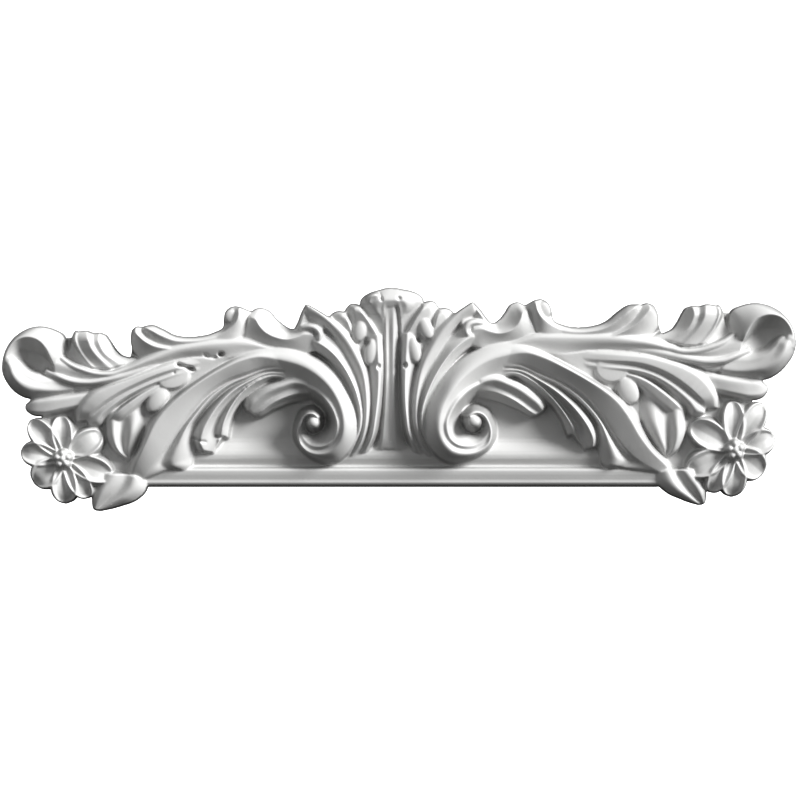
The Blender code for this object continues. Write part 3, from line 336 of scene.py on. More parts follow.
def end_scroll(relief):
    """The roll at each end: its bowl lies between the rolled rim and the lip that turns over it."""
    outline = [(318, 94, 27), (335, 91, 26), (352, 89.5, 25), (364, 88.5, 24), (375, 93.5, 24),
               (384, 103, 24), (389, 113, 24), (390, 123, 24)]
    rim = [(318, 99, 33), (335, 97, 35), (350, 98, 38), (362, 100.5, 41), (371, 105.5, 43), (377, 113, 44),
           (380, 121, 43), (384, 127, 39)]
    inner = [(326, 106, 32), (338, 104.5, 34), (349, 105.5, 36), (358, 108.5, 38), (365, 112.5, 39),
             (369.5, 118, 39), (372.5, 124, 39), (378, 128, 38)]
    floor = [(336, 114, 29), (342, 114, 25), (348.5, 115, 22), (354.5, 117, 20), (360, 120, 20),
             (364, 123.5, 21), (368, 127, 24), (374, 130, 32)]
    back = [(337, 118, 30), (341, 122, 26), (345, 127, 22), (350, 132, 20), (357, 135.5, 20),
            (364, 136.5, 22), (371, 134.5, 27), (378, 129, 34)]
    relief.skin([outline, rim, inner, floor, back], [shoulder, swell, cove, plain])
    edge = [(389.5, 116, 25), (389, 127, 25), (384.5, 140, 25), (376, 151, 25), (364, 158.5, 25),
            (351, 161, 25), (338, 158, 24), (328, 152, 23), (325, 142, 22), (326, 130, 24)]
    lip = [(387, 117, 34), (386, 128, 40), (381, 139.5, 43), (372.5, 147.5, 44), (362, 149.5, 45),
           (352, 146, 45), (345, 138.5, 44), (341.5, 131.5, 42), (339.5, 127, 40), (338, 123, 36)]
    under = [(385, 118, 38), (380.5, 127, 39), (375, 132.5, 32), (367, 136.5, 24), (359, 136.5, 21),
             (353, 134, 20.5), (348.5, 130.5, 21), (345, 126.5, 23), (342.5, 124, 25), (339, 120, 29)]
    beyond = [(381, 117, 33), (377, 124, 33), (371, 129.5, 25), (365, 133, 20.5), (359, 133, 19.5),
              (354, 131, 19.5), (350, 128, 20), (347, 124, 22), (344, 121, 24), (341, 118, 28)]
    relief.skin([edge, lip, under, beyond], [shoulder, plain, plain])
    relief.knob((382.5, 126.5), 4, 41, 0.5)


def stem(relief):
    """The broad band that runs out from the volute and parts into the end leaves."""
    top = [(104, 138, 32), (124, 142, 33), (146, 149, 33), (170, 149, 32), (195, 147, 31), (220, 143, 31),
           (245, 132, 30), (268, 121, 30), (290, 115, 29), (310, 119, 29), (326, 128, 29), (337, 131, 31)]
    crest = [(102, 135, 34), (123, 139, 36.5), (145, 143.5, 38), (170, 143, 39), (195, 140.5, 39),
             (220, 135.5, 39), (245, 125.5, 39), (268, 116, 38), (290, 111, 37.5), (310, 113.5, 37),
             (326, 120, 36), (338, 123, 35)]
    low = [(100, 131, 34), (122, 135, 35.5), (142, 134, 35.5), (160, 129, 35), (178, 129, 34),
           (196, 129.5, 33), (216, 126.5, 32), (240, 118.5, 31), (268, 108.5, 30), (290, 102, 30),
           (312, 97, 31), (334, 98, 31)]
    relief.skin([top, crest, low], [shoulder, swell])
    relief.roll([(346, 116, 31), (335, 111.5, 36), (320, 106, 39), (304, 104.5, 39.5), (288, 106.5, 39),
                 (268, 111, 38), (248, 118, 36), (232, 124, 33)], 2.8)
    relief.roll([(331, 130, 33), (320, 122, 37.5), (308, 117, 39.5), (295, 113.5, 39.5), (280, 113, 39),
                 (262, 119, 37), (246, 125, 34)], 2.4)


def leaf_one(relief):
    """The ribbed leaf that stands up beside the end scroll."""
    outer = [(328, 122, 26), (324, 134, 22), (320.5, 143, 22), (320, 149, 22), (318.5, 153.5, 22),
             (315, 157.5, 24)]
    ridge = [(297, 119, 35), (305, 127, 35.5), (311, 135, 37), (314.5, 142, 38), (316.5, 149, 37),
             (315, 155, 34)]
    groove = [(293, 118, 33.5), (301, 125.5, 33.5), (307.5, 133.5, 34.5), (311.5, 141, 35.5),
              (313.5, 149, 35), (312, 156, 32)]
    fold = [(281, 118, 35), (288.5, 125.5, 37), (295.5, 133, 39), (300.5, 141, 40.5), (303, 149, 40.5),
            (304, 156.5, 33)]
    back = [(275, 120, 33), (283, 126, 34.5), (290, 132.5, 36), (295, 140, 36.5), (297, 147, 36),
            (297.5, 154, 28)]
    tip = [(270, 121.5, 33), (278, 127.5, 35), (285, 133, 37), (289.5, 140, 38), (292, 147, 38),
           (291, 154.5, 32)]
    edge = [(250, 128, 28), (263, 130, 27), (271, 133, 26), (276.5, 139, 26), (281, 146, 26),
            (285.5, 152.5, 26)]
    relief.skin([outer, ridge, groove, fold, back, tip, edge], [cove, plain, plain, swell, plain, shoulder])


def leaf_two(relief):
    """The long leaf with two ribs, between the first leaf and the curls."""
    edge = [(164, 161, 26), (182, 153, 26), (200, 150.5, 26), (216, 152, 27), (229, 158.5, 28),
            (239, 162.3, 28), (246, 161.3, 28), (248.5, 160.6, 29)]
    crest = [(168, 151, 35), (185, 147, 37), (200, 145.5, 38), (215, 146, 39), (228, 150.5, 41),
             (238, 155.5, 42), (245, 159, 39), (248, 160, 34)]
    groove = [(173, 144, 35), (190, 142, 35), (205, 140.5, 35), (219, 140.5, 35), (232, 143.5, 35),
              (242, 149.5, 35), (247.5, 156, 34), (249.5, 160.3, 31)]
    ridge = [(180, 140.5, 37), (194, 138.5, 37.5), (208, 137.5, 38), (224, 138.5, 39), (239, 142, 41),
             (250, 149, 42), (256, 156.5, 39), (254.5, 161, 32)]
    outer = [(185, 134, 34), (200, 131, 33), (215, 129, 31), (232, 127, 29), (248, 127.5, 26),
             (258, 136, 24), (261, 149, 24), (259.5, 157.5, 26)]
    relief.skin([edge, crest, groove, ridge, outer], [shoulder, plain, plain, plain])


def curl_one(relief):
    """The narrow curl that rises from the band, with a small boss in it."""
    edge = [(192, 150.5, 26), (178, 154.5, 26), (168, 160.5, 25), (167.5, 168, 25), (166, 175, 25),
            (161, 180, 26), (154, 180.8, 27)]
    crest = [(188, 146, 34), (173, 151.5, 36), (162.5, 158, 38), (155.5, 164.5, 40), (152.3, 171, 41),
             (151.8, 177, 39), (151, 180.3, 33)]
    face = [(182, 140, 34), (168, 142, 35), (155, 145, 35), (147.5, 152, 32), (144.5, 160, 30),
            (142.5, 168, 28), (140.5, 176, 27)]
    relief.skin([edge, crest, face], [cove, plain])
    relief.knob((159.8, 170.3), 7, 35.5, 0.4)


def curl_two(relief):
    """The broad curl next to the fan, with the little roll at its inner end."""
    edge = [(141, 175, 26), (132, 179.5, 26), (123, 177, 26), (115, 169, 26), (107, 162, 26),
            (100, 158.3, 26), (93, 159, 30), (86, 161, 35), (78, 159, 38)]
    lip = [(141, 170, 35), (135.5, 168, 40), (131, 161, 42), (124, 154, 42), (114, 149.5, 42),
           (104, 148, 41), (95, 150, 41), (86, 153, 41), (77, 151, 40)]
    base = [(147, 148, 31), (142, 146, 31), (135, 143, 31), (125, 140.5, 31), (114, 138.5, 31),
            (104, 137, 32), (94, 135, 33), (84, 134, 34), (74, 137, 34)]
    relief.skin([edge, lip, base], [cove, plain])
    relief.roll([(90, 158, 38), (81, 160, 42), (74, 157.5, 43.5), (71, 152.5, 43.5), (73, 147.5, 42),
                 (77, 148, 39)], 3)


def blade_tip(relief):
    """The pointed leaf between the second curl and the fan: its bright outer strip."""
    edge = [(97, 158.5, 26), (93, 166, 26), (91, 172, 27), (85, 183.5, 28)]
    crest = [(93, 157, 34), (90, 165, 37), (87, 172, 38), (84.5, 182.5, 34)]
    crease = [(80, 156, 33), (81, 164, 32), (82, 171, 33), (84, 181, 34)]
    face = [(66, 158, 37), (70, 165, 37), (76, 172, 38), (83.5, 181, 38)]
    relief.skin([edge, crest, crease, face], [shoulder, plain, plain])


def small_lobes(relief):
    """The folded lobes beside the crest, and two oval buds on them."""
    relief.skin([[(62, 168.5, 28), (60, 173, 27), (54, 176, 27), (47, 175.5, 27)],
                 [(52, 160, 34), (50, 166, 36), (48, 171, 37), (46, 174.5, 33)],
                 [(38, 150, 34), (40, 159, 38), (42.5, 166, 39), (46, 173, 36)]],
                [shoulder, plain])
    relief.skin([[(40, 152, 33), (44, 162, 31), (47, 172, 28), (45.5, 178, 27), (41, 183, 27),
                  (36, 183.5, 27), (30, 181.5, 27)],
                 [(28, 150, 34), (33, 160, 35), (36, 168, 36), (37.5, 174, 37), (37, 178.5, 37),
                  (34, 180.5, 35), (30, 180.5, 33)],
                 [(9, 146, 35), (13, 152, 37), (18, 160, 39), (23, 168, 40), (28, 174.5, 40), (30, 178, 37),
                  (29.5, 180, 31)]],
                [cove, plain])
    for place, length, width, turn in (((31.5, 155.5), 11, 6.5, 1.85), ((20.5, 135), 13, 6, 1.75)):
        relief.knob(place, width, 40, 0.6, length / width, turn)


def crest_dome(relief):
    """The dome over the stem, the flutes that run up into it and a folded petal on its left."""
    relief.skin([[(30, 180, 24), (31, 186, 26), (27, 191, 26), (21, 194.5, 26), (13, 197, 26),
                  (4, 199.3, 26), (-1.5, 199.5, 26)],
                 [(12, 172, 36.5), (14, 177, 38.5), (13.5, 181, 40), (11.5, 184, 41), (8, 185.5, 41.5),
                  (4, 186, 41.5), (-1.5, 186, 41.5)],
                 [(9, 166, 35), (8, 172, 36), (7, 177, 37), (5, 179, 38), (3, 180, 38.4), (1, 180, 38.4),
                  (-1.5, 180, 38.4)]],
                [shoulder, plain])
    relief.skin([[(31, 184, 30), (23, 173, 31), (16, 160, 31), (9.5, 146, 30)],
                 [(20, 184, 37.5), (15, 172, 34.5), (11.5, 160, 32), (8.7, 147, 30)],
                 [(6, 184, 41), (6.5, 172, 37), (7, 160, 34), (7.5, 148, 33)]],
                [plain, plain])
    relief.skin([[(25.5, 185, 30), (26, 190, 30), (20, 194, 31), (13.5, 195, 32)],
                 [(22, 183.5, 40), (20, 189, 42), (16, 191.5, 43), (12, 192.5, 40)],
                 [(17, 181, 36), (13, 184, 38), (10.5, 187, 38.5), (10, 191, 38)]],
                [shoulder, shoulder], 'L')


def big_leaf(relief):
    """The leaf that droops from the volute's band over the moulding, all its lobes in one skin."""
    # Edges are e, ridges r, the groove g and the crease c, counted from the upper side down
    e1 = [(121, 140.2, 34), (135, 137, 35), (154, 130, 34), (174, 120, 31), (194, 107, 28), (214, 93.5, 27),
          (232, 78, 26), (243, 66, 25), (248, 54, 24), (254, 38, 24), (261, 25, 23), (264, 14, 22)]
    mid = [(113.75, 127.65, 42), (132, 130, 44), (152, 125.5, 45.5), (171, 116.5, 46), (192, 104, 46.5),
           (211, 89.5, 46), (226, 75, 45), (236, 61, 44), (243, 47, 42), (250, 33, 38), (256, 20, 32),
           (259, 10, 26)]
    r1 = [(109.5, 120.3, 37.8), (127, 120, 37), (147, 113.5, 37), (165, 107, 37), (183.5, 94.5, 37),
          (200, 76, 37), (213, 58, 36.5), (222, 45, 36), (231, 32, 35), (239, 21, 33), (246, 12, 30),
          (250, 6.5, 27)]
    g1 = [(109, 119.3, 37.3), (126, 118.2, 34.5), (145.4, 111.3, 32.5), (163, 104.4, 31.5),
          (181.3, 92.5, 31), (197.6, 74.3, 31), (210.6, 56.5, 30.5), (219.3, 43.4, 30), (227.5, 30.8, 29.5),
          (230, 22.5, 29), (224, 18.5, 28.5), (219, 18.5, 28)]
    e2 = [(107, 116, 35.4), (124, 115.3, 32), (142, 108.5, 29), (158, 101.5, 27), (174, 89.5, 26),
          (189, 73.5, 25), (197.5, 60, 25), (198, 49, 24), (197, 39, 24), (198.5, 29, 24), (201.5, 20, 25),
          (208, 16.5, 27)]
    lobe_rise = [36.6, 35.5, 35, 35, 35.5, 36.5, 37, 37, 36, 34, 31, 29]
    c1 = [(0.6 * a + 0.4 * c, 0.6 * b + 0.4 * d, h) for (a, b, _), (c, d, _), h in zip(g1, e2, lobe_rise)]
    relief.skin([e1, mid, r1, g1, c1, e2], [shoulder, plain, plain, swell, cove])
    e3 = [(106.5, 115.2, 34.9), (124, 114.5, 31), (142, 108, 28), (158, 101, 27), (174, 88, 26),
          (188, 72, 26), (196, 59, 26), (198.5, 50, 25), (195, 38, 25)]
    r3 = [(105, 112.5, 33.4), (124, 113.3, 36), (142, 105.5, 38), (157, 96, 39), (171, 82.5, 40),
          (182, 66, 40), (188, 53, 39), (190, 44, 36), (187, 36, 30)]
    e4 = [(103.5, 110, 32), (121, 111.7, 31), (138, 103.5, 29), (152, 93, 28), (163, 80, 27), (171, 67, 26),
          (175, 54, 26), (174, 44, 25), (178, 34, 25)]
    r4 = [(102.8, 108.7, 31.3), (120, 111, 35.5), (135, 105.5, 37), (148, 96, 37), (158.5, 83, 37),
          (164.5, 71, 36), (168, 61, 34), (169, 55, 31), (169, 51, 28)]
    e5 = [(101.8, 107, 30.3), (119, 108.5, 30), (131, 101, 27), (143, 92, 26), (152.5, 82, 25),
          (158.5, 72, 25), (162, 61, 25), (163, 54, 25), (164, 49.5, 25)]
    relief.skin([e3, r3, e4, r4, e5], [shoulder, shoulder, plain, shoulder])


def finger(relief):
    """The short lobe that continues the volute's inner rim."""
    edge = [(84, 107, 37), (98, 109, 34), (112, 105.5, 32), (126, 101, 30), (137, 95, 27), (144.5, 88, 25),
            (147, 81, 24)]
    crest = [(83, 101, 38), (97, 104.5, 37), (110, 101, 37), (122, 96, 36), (132, 89.5, 34),
             (139.5, 83, 32), (143.5, 77, 28)]
    groove = [(82, 97, 31), (96, 98, 31), (108, 94, 31), (118, 89, 30), (126, 83.5, 29), (133.5, 78, 27),
              (139, 73.5, 25)]
    second = [(82, 93, 27), (94, 93, 31), (106, 89.5, 33), (116, 85, 33), (124, 79.5, 31),
              (130.5, 74.5, 29), (135, 71.5, 26)]
    low = [(82, 88, 17), (92, 86, 19), (104, 83, 21), (113, 79.5, 22), (120, 76.5, 22), (126, 73, 22),
           (131, 70, 21)]
    relief.skin([edge, crest, groove, second, low], [shoulder, swell, plain, shoulder])


def wide_lobes(relief):
    """The lobes that run from the band out to the flower, with the ring, a bud and a tongue."""
    upper = [(190, 130, 33), (204, 128.5, 34), (218, 126, 33), (240, 118.5, 31), (268, 108.5, 29),
             (289, 102, 28), (303, 96, 27), (312, 87, 25), (316.5, 76, 24), (315.5, 66, 23)]
    ridge = [(188, 124.5, 34), (200, 121.5, 36), (213, 118.5, 38.5), (233, 112.5, 40.5), (255, 103, 41),
             (272, 94.5, 41), (286, 85.5, 40.5), (296, 77.5, 38.5), (302, 72, 35), (305, 67, 28)]
    groove = [(187.5, 122.5, 33), (199, 119.5, 34), (212, 116.5, 35), (231.7, 110, 35.5),
              (253.5, 100.5, 35.5), (270.2, 92, 35.5), (284, 83.2, 35), (293.8, 75.5, 33.5),
              (299.5, 70, 31.5), (303, 65.5, 28)]
    lower = [(186, 119, 32), (196, 113.5, 32), (207, 110.5, 31), (224, 105, 29), (246, 96.5, 28),
             (263, 87, 27), (276, 77, 26), (285, 68.5, 25), (290, 61.5, 24), (301, 60.5, 23)]
    crest = [(0.55 * a + 0.45 * c, 0.55 * b + 0.45 * d, h) for (a, b, _), (c, d, h) in zip(upper, ridge)]
    back_rise = [33, 35, 37, 38, 38, 38, 37.5, 36, 34, 30]
    back = [(0.55 * a + 0.45 * c, 0.55 * b + 0.45 * d, h)
            for (a, b, _), (c, d, _), h in zip(groove, lower, back_rise)]
    relief.skin([upper, crest, ridge, groove, back, lower], [shoulder, plain, plain, swell, cove])
    relief.skin([[(226, 106, 29), (246, 96.5, 29), (262, 86, 28), (275, 75.5, 27), (284, 67, 26)],
                 [(227.5, 104, 35), (247, 94, 38), (262.5, 83.5, 39), (275.5, 73.5, 37), (283.5, 66, 30)],
                 [(232, 99, 34), (248, 88.5, 36), (261, 78.5, 36.5), (272, 70, 34.5), (280.5, 64, 28)],
                 [(236, 94, 28), (248, 83, 27), (258, 73, 26), (268, 65.5, 25), (278, 61.5, 24)]],
                [shoulder, plain, cove])
    relief.skin([[(140, 133, 35), (160, 129.5, 35), (178, 129, 35), (196, 129.5, 35), (216, 126.5, 34),
                  (240, 118.5, 33)],
                 [(143, 133, 33), (160, 128, 33), (176, 119.5, 33), (194, 107.5, 32), (214, 94, 30),
                  (232, 79, 28)]],
                [plain])
    relief.ring((217, 110), 18, 12.5, -0.35, [(1, 29), (0.94, 34.5), (0.84, 36), (0.4, 36.4), (0, 36.5)])
    relief.knob((233.5, 87.5), 8.5, 37, 0.5, 1.75, 2.2)
    relief.skin([[(300, 97, 28), (322, 93.5, 28), (345, 91, 26), (359, 88, 24), (366.5, 82, 23)],
                 [(304, 92, 32), (326, 88, 34), (346, 85.5, 33), (359, 84, 30), (366.6, 80.5, 25)],
                 [(309, 84, 31), (331, 79, 33), (348, 76, 32), (360, 77, 29), (366.6, 79, 25)],
                 [(314, 78, 25), (333, 73.5, 24), (350, 70.5, 23), (361, 72.5, 22), (366, 77, 22)]],
                [shoulder, swell, cove])


PETALS = [((361.5, 67), 21), ((371, 36), 22), ((357.5, 3), 26), ((325.5, -17), 24), ((302, -11), 20),
          ((279, 11), 24), ((289.5, 54), 23), ((330, 71), 20)]


def flower(relief):
    """Eight hollow petals round a heart of small beads."""
    heart = np.array([328.0, 28.0])
    for tip, width in PETALS:
        axis = np.array(tip, float) - heart
        length = np.hypot(*axis)
        axis /= length
        side = np.array([-axis[1], axis[0]])
        shares = np.array([0.06, 0.3, 0.55, 0.78, 0.93, 1.0])
        half = np.array([0.2, 0.46, 0.6, 0.55, 0.34, 0.02]) * width
        rise = np.array([29, 33, 36, 35, 31, 25])
        rails = []
        for across, drop in ((1, 10), (0.84, 0), (0.5, 4.5), (0, 6), (-0.5, 4.5), (-0.84, 0), (-1, 10)):
            rails.append([(*(heart + axis * length * s + side * w * across), h - drop * min(1, w / 4))
                          for s, w, h in zip(shares, half, rise)])
        relief.skin(rails, [shoulder, swell, plain, plain, swell, cove])
    for i in range(5):
        a = i * 2 * np.pi / 5 + 0.3
        relief.knob((heart[0] + 5.6 * np.cos(a), heart[1] + 5.6 * np.sin(a)), 3.2, 42)
    relief.knob(heart, 3.2, 43)


def bud_leaf(relief):
    """The leaf of two blades between the big leaf and the flower."""
    relief.skin([[(286, 82, 25), (285, 60, 26), (284.5, 50, 25), (281, 41, 24), (275, 33.5, 24),
                  (268, 29, 23), (262, 26, 23)],
                 [(278, 83, 29), (277.5, 62, 33), (277, 51, 34), (275, 42, 33), (271, 35, 31),
                  (266, 30, 27), (262, 26.5, 24)],
                 [(269, 85, 27), (269, 64, 28), (269, 54, 27), (268.5, 44, 26), (267, 36, 25),
                  (264, 30, 24), (261.5, 26.5, 23)],
                 [(258, 86, 28), (257.5, 66, 33), (259, 56, 34), (261, 46, 32), (263, 37, 29),
                  (262.5, 31, 26), (261.5, 27, 24)],
                 [(246, 88, 24), (247, 66, 26), (249, 56, 26), (253, 46, 25), (257, 37, 24),
                  (259.5, 31, 23), (261, 27, 23)]],
                [shoulder, swell, swell, cove])


def bottom_leaf(relief):
    """The folded leaf that hangs below the flower."""
    relief.skin([[(288, 14, 26), (294, 4, 23), (298, -5, 22), (299.8, -14, 22), (298.5, -23, 22)],
                 [(276, 13, 32), (282, 3, 32), (288.5, -6, 31), (293.5, -15, 28), (297, -23, 24)],
                 [(265, 13, 27), (269, 3, 27), (276, -6, 26), (285, -14, 24), (296, -24, 22)],
                 [(256, 11, 31), (259, -1, 32), (267, -9.5, 31), (278, -15.5, 28), (293, -24, 23)],
                 [(245, 7, 25), (245, -3, 24), (254, -13, 23), (270, -19.5, 22), (291, -24.5, 22)]],
                [shoulder, swell, swell, cove])


def volute(relief):
    """The scroll over the moulding, from its band in to its eye."""
    outer = turn_rail(EYE, TURNS,
                      [88, 72.5, 61.8, 53.2, 47, 44.5, 43.5, 44.1, 45, 44.8, 40.1, 35, 29.5, 24, 19.8,
                       16.7, 14.7, 14, 12.3, 9.3],
                      [34, 34, 34, 34, 35, 37, 38, 35, 31, 27, 24, 22, 22, 23, 24, 26, 29, 33, 38, 43])
    crest = turn_rail(EYE, TURNS,
                      [73.5, 56.5, 44.5, 36.9, 32.2, 30, 29.6, 30.5, 31.6, 32.5, 31.2, 29, 25.3, 20.3, 16,
                       13.6, 12, 10.3, 8.5, 6],
                      [42, 45, 49, 52, 53, 54, 54, 52, 48, 44, 40, 37, 36, 37, 39, 41, 44, 47, 49, 50])
    groove = turn_rail(EYE, TURNS,
                       [49, 39.9, 33.6, 29.3, 26.7, 25.5, 26, 27.2, 28.2, 28.2, 27.3, 25.8, 23, 18.6, 15.5,
                        13.1, 11.5, 9.8, 8.2, 6],
                       [30, 36, 42, 47, 49, 50, 51, 49, 45, 41, 37, 34, 33, 35, 37, 40, 43.5, 46.5, 49,
                        50])
    rim = turn_rail(EYE, TURNS,
                    [45, 36.7, 30, 25.3, 23, 22.2, 22.8, 23.6, 24.9, 25.2, 23.9, 21.8, 18.8, 16.4, 14.6,
                     12.6, 11, 9.5, 8, 6],
                    [32, 38, 44, 49, 51, 52, 53, 51, 47, 44, 40, 36, 35, 36, 38, 40, 43, 46, 49, 50])
    valley = turn_rail(EYE, TURNS,
                       [32, 24, 17.5, 13.5, 11.6, 10.9, 10.8, 11.1, 11.4, 11.8, 12.2, 12.6, 12.4, 11.3,
                        10.2, 9.5, 8.4, 8, 7, 6],
                       [15, 15, 14, 14, 15, 17, 19, 21, 23, 24, 25, 26, 27, 29, 31, 33, 36, 40, 44, 48])
    relief.skin([outer, crest, groove, rim, valley], [shoulder, plain, plain, plain])
    relief.knob((77.5, 64.5), 5.4, 50.5, 0.8)


def fan(relief):
    """The blades that spring from the foot of the centre."""
    # Central stem, hollowed between its two edges
    foot = [(9, 182, 34), (8, 150, 28), (6.5, 120, 27), (7.5, 90, 26), (10, 65, 22), (14, 45, 18),
            (19, 36, 17)]
    relief.skin([foot,
                 [(5.8, 182, 38), (5.6, 150, 34.5), (5.2, 120, 33.5), (5.8, 90, 31.5), (7.5, 65, 28),
                  (9.5, 45, 24), (11, 37, 20)],
                 [(2.2, 182, 38), (2, 150, 32), (2, 120, 31), (2, 90, 29), (2, 65, 26.5), (2, 45, 23),
                  (2, 38, 21)],
                 [(-2.5, 182, 38), (-2.5, 150, 34.5), (-2.5, 120, 33.5), (-3, 90, 31.5), (-4, 65, 28),
                  (-5.5, 45, 24), (-7, 37, 20)],
                 [(-out, up, height) for out, up, height in foot]],
                [plain, plain, plain, plain], halves='L')
    # Innermost blade: groove, crest, valley
    relief.skin([[(8, 152, 29), (7, 130, 29), (7.5, 110, 29), (9, 90, 29), (11.5, 70, 28), (15, 52, 25),
                  (22, 36, 19)],
                 [(14, 152, 38), (13, 130, 40), (12.5, 110, 41), (13.5, 90, 41), (16, 70, 40), (19, 52, 36),
                  (27, 34, 22)],
                 [(24, 152, 33), (22, 130, 33), (20.5, 110, 33), (19.5, 90, 33), (20, 70, 32), (24, 50, 29),
                  (33, 33, 20)]],
                [shoulder, plain])
    # Second blade
    relief.skin([[(80, 181, 40), (62, 170, 37), (45, 157, 35), (32, 138, 34), (24, 118, 33), (20.5, 98, 33),
                  (19.8, 78, 32), (22, 58, 29), (30, 38, 22), (37, 31, 18)],
                 [(85, 183, 42), (65, 169, 42), (48, 152, 42), (36, 133, 42), (28, 115, 42), (25, 96, 42),
                  (24.5, 76, 41), (26.5, 58, 38), (33, 40, 29), (40, 31, 22)],
                 [(84, 170, 36), (66, 160, 35), (52, 143, 35), (42, 127, 35), (34, 110, 35), (29.5, 94, 36),
                  (28, 78, 36), (29.5, 60, 33), (36, 42, 26), (42, 32, 20)]],
                [shoulder, cove])
    # First blade
    relief.skin([[(76, 160, 36), (64, 152, 35), (52, 143, 35), (42, 127, 35), (34, 110, 35), (29.5, 94, 36),
                  (28, 78, 36), (28.5, 60, 34), (34, 44, 27), (41, 32, 21)],
                 [(78, 146, 40), (68, 141, 43), (58, 133, 45), (48, 121, 46), (40, 107, 47), (34, 92, 47),
                  (30.5, 76, 46), (31, 60, 42), (37, 43, 33), (43, 32, 24)],
                 [(80, 138, 34), (72, 134, 34), (62, 126, 34), (53, 115, 34), (45, 103, 35), (39, 90, 36),
                  (34.5, 76, 37), (33.5, 60, 37), (39, 43, 31), (46, 30, 24)]],
                [cove, shoulder])


def air_holes(relief):
    """Holes and nicks that trapped air left in this casting."""
    relief.cut([(168.5, 133), (171.5, 132.5)], 2.2, 7, 'L')
    relief.cut([(187, 132.5), (181, 129.5), (174, 129.5)], 1.2, 2, 'L')
    relief.cut([(214, 123), (206, 120.5), (197, 117)], 1.8, 5, 'L')
    relief.cut([(216.3, 114), (216.8, 114)], 1.1, 3, 'L')
    relief.cut([(12, 122), (12, 118)], 1.7, 5)
    relief.cut([(23, 146), (25, 142)], 1.4, 4)
    relief.cut([(12.8, 195), (10.5, 191), (9, 186)], 1.1, 3, 'L')
    relief.cut([(7, 188.5), (8, 187.5)], 2.2, 4, 'R')
    relief.cut([(198, 49), (192, 46), (185, 45)], 1.3, 1.8, 'L')
    relief.cut([(176, 51), (170, 49.5)], 1.3, 1.8, 'L')


FORMS = (moulding, bed, volute, fan, crest_dome, end_scroll, stem, leaf_one, leaf_two, curl_one, curl_two,
         blade_tip, small_lobes, big_leaf, finger, wide_lobes, flower, bud_leaf, bottom_leaf, air_holes)


def soften(values, spread):
    """A Gaussian blur; the spread is in cells."""
    reach = int(np.ceil(3 * spread))
    weights = np.exp(-0.5 * (np.arange(-reach, reach + 1) / spread)**2)
    weights /= weights.sum()
    for axis in (0, 1):
        pad = [(reach, reach) if axis == i else (0, 0) for i in (0, 1)]
        padded = np.pad(values, pad, mode='edge')
        length = values.shape[axis]
        values = sum(weight * np.take(padded, range(i, i + length), axis) for i, weight in enumerate(weights))
    return values


def add_flanks(height, cell):
    """Give every form a steep side down to what lies behind it."""
    drops = [(di, dj, FLANK_SLOPE * cell * np.hypot(di, dj))
             for di in (-1, 0, 1) for dj in (-1, 0, 1) if di or dj]
    for _ in range(int(FLANK_REACH / cell)):
        padded = np.pad(height, 1, mode='edge')
        for di, dj, drop in drops:
            beside = padded[1 + di:1 + di + height.shape[0], 1 + dj:1 + dj + height.shape[1]]
            height = np.maximum(height, beside - drop)
    return height


def carve():
    """The finished heights, and how far each place is inside the outline (over a half is inside)."""
    relief = Relief(CELL, shift_right())
    for form in FORMS:
        form(relief)
    inside = soften((relief.height > EMPTY).astype(float), SOFTNESS / CELL)
    height = np.maximum(add_flanks(relief.height, CELL) - relief.sunk, LEAST_HEIGHT)
    height = soften(height, SOFTNESS / CELL)
    return relief, lean_walls(height, inside), inside


def lean_walls(height, inside):
    """Let the side wall lean in over its foot, as a mould needs it."""
    wall = np.sqrt(np.clip((inside - OUTLINE_SHARE) / DRAFT_SHARE, 0, 1))
    return np.where(height > WALL_FOOT, WALL_FOOT + (height - WALL_FOOT) * wall, height)


def whole_cells(inside):
    """Grid cells with all corners inside, none of them touching another at a corner only."""
    node = inside > OUTLINE_SHARE
    cells = node[:-1, :-1] & node[1:, :-1] & node[1:, 1:] & node[:-1, 1:]
    while True:
        rising = cells[:-1, :-1] & cells[1:, 1:] & ~cells[1:, :-1] & ~cells[:-1, 1:]
        falling = ~cells[:-1, :-1] & ~cells[1:, 1:] & cells[1:, :-1] & cells[:-1, 1:]
        if not (rising.any() or falling.any()):
            return cells
        cells[1:, 1:][rising] = False
        cells[1:, :-1][falling] = False


def front_mesh():
    """The carved face as an open mesh, its rim moved on to the outline."""
    relief, height, inside = carve()
    cells = whole_cells(inside)
    x = relief.left + np.arange(relief.across)[:, None] * CELL + np.zeros(inside.shape)
    y = relief.bottom + np.arange(relief.up)[None, :] * CELL + np.zeros(inside.shape)
    padded = np.pad(cells, 1)
    around = padded[:-1, :-1].astype(int) + padded[1:, :-1] + padded[1:, 1:] + padded[:-1, 1:]
    rim = (around > 0) & (around < 4)
    steep_x, steep_y = np.gradient(inside, CELL)
    steepness = np.hypot(steep_x, steep_y) + 1e-6
    step = np.clip((inside - OUTLINE_SHARE) / steepness, -RIM_STEP * CELL, RIM_STEP * CELL) * rim
    x, y = x - step * steep_x / steepness, y - step * steep_y / steepness
    used = around > 0
    index = np.full(inside.shape, -1)
    index[used] = np.arange(used.sum())
    i, j = np.nonzero(cells)
    quads = np.stack([index[i, j], index[i + 1, j], index[i + 1, j + 1], index[i, j + 1]], -1)
    points = np.stack([(x[used] - DRAWN_CENTRE[0]) * UNIT, -height[used] * RISE,
                       (y[used] - DRAWN_CENTRE[1]) * UNIT], -1)
    mesh = bpy.data.meshes.new('front')
    mesh.from_pydata(points.tolist(), [], quads.tolist())
    return mesh


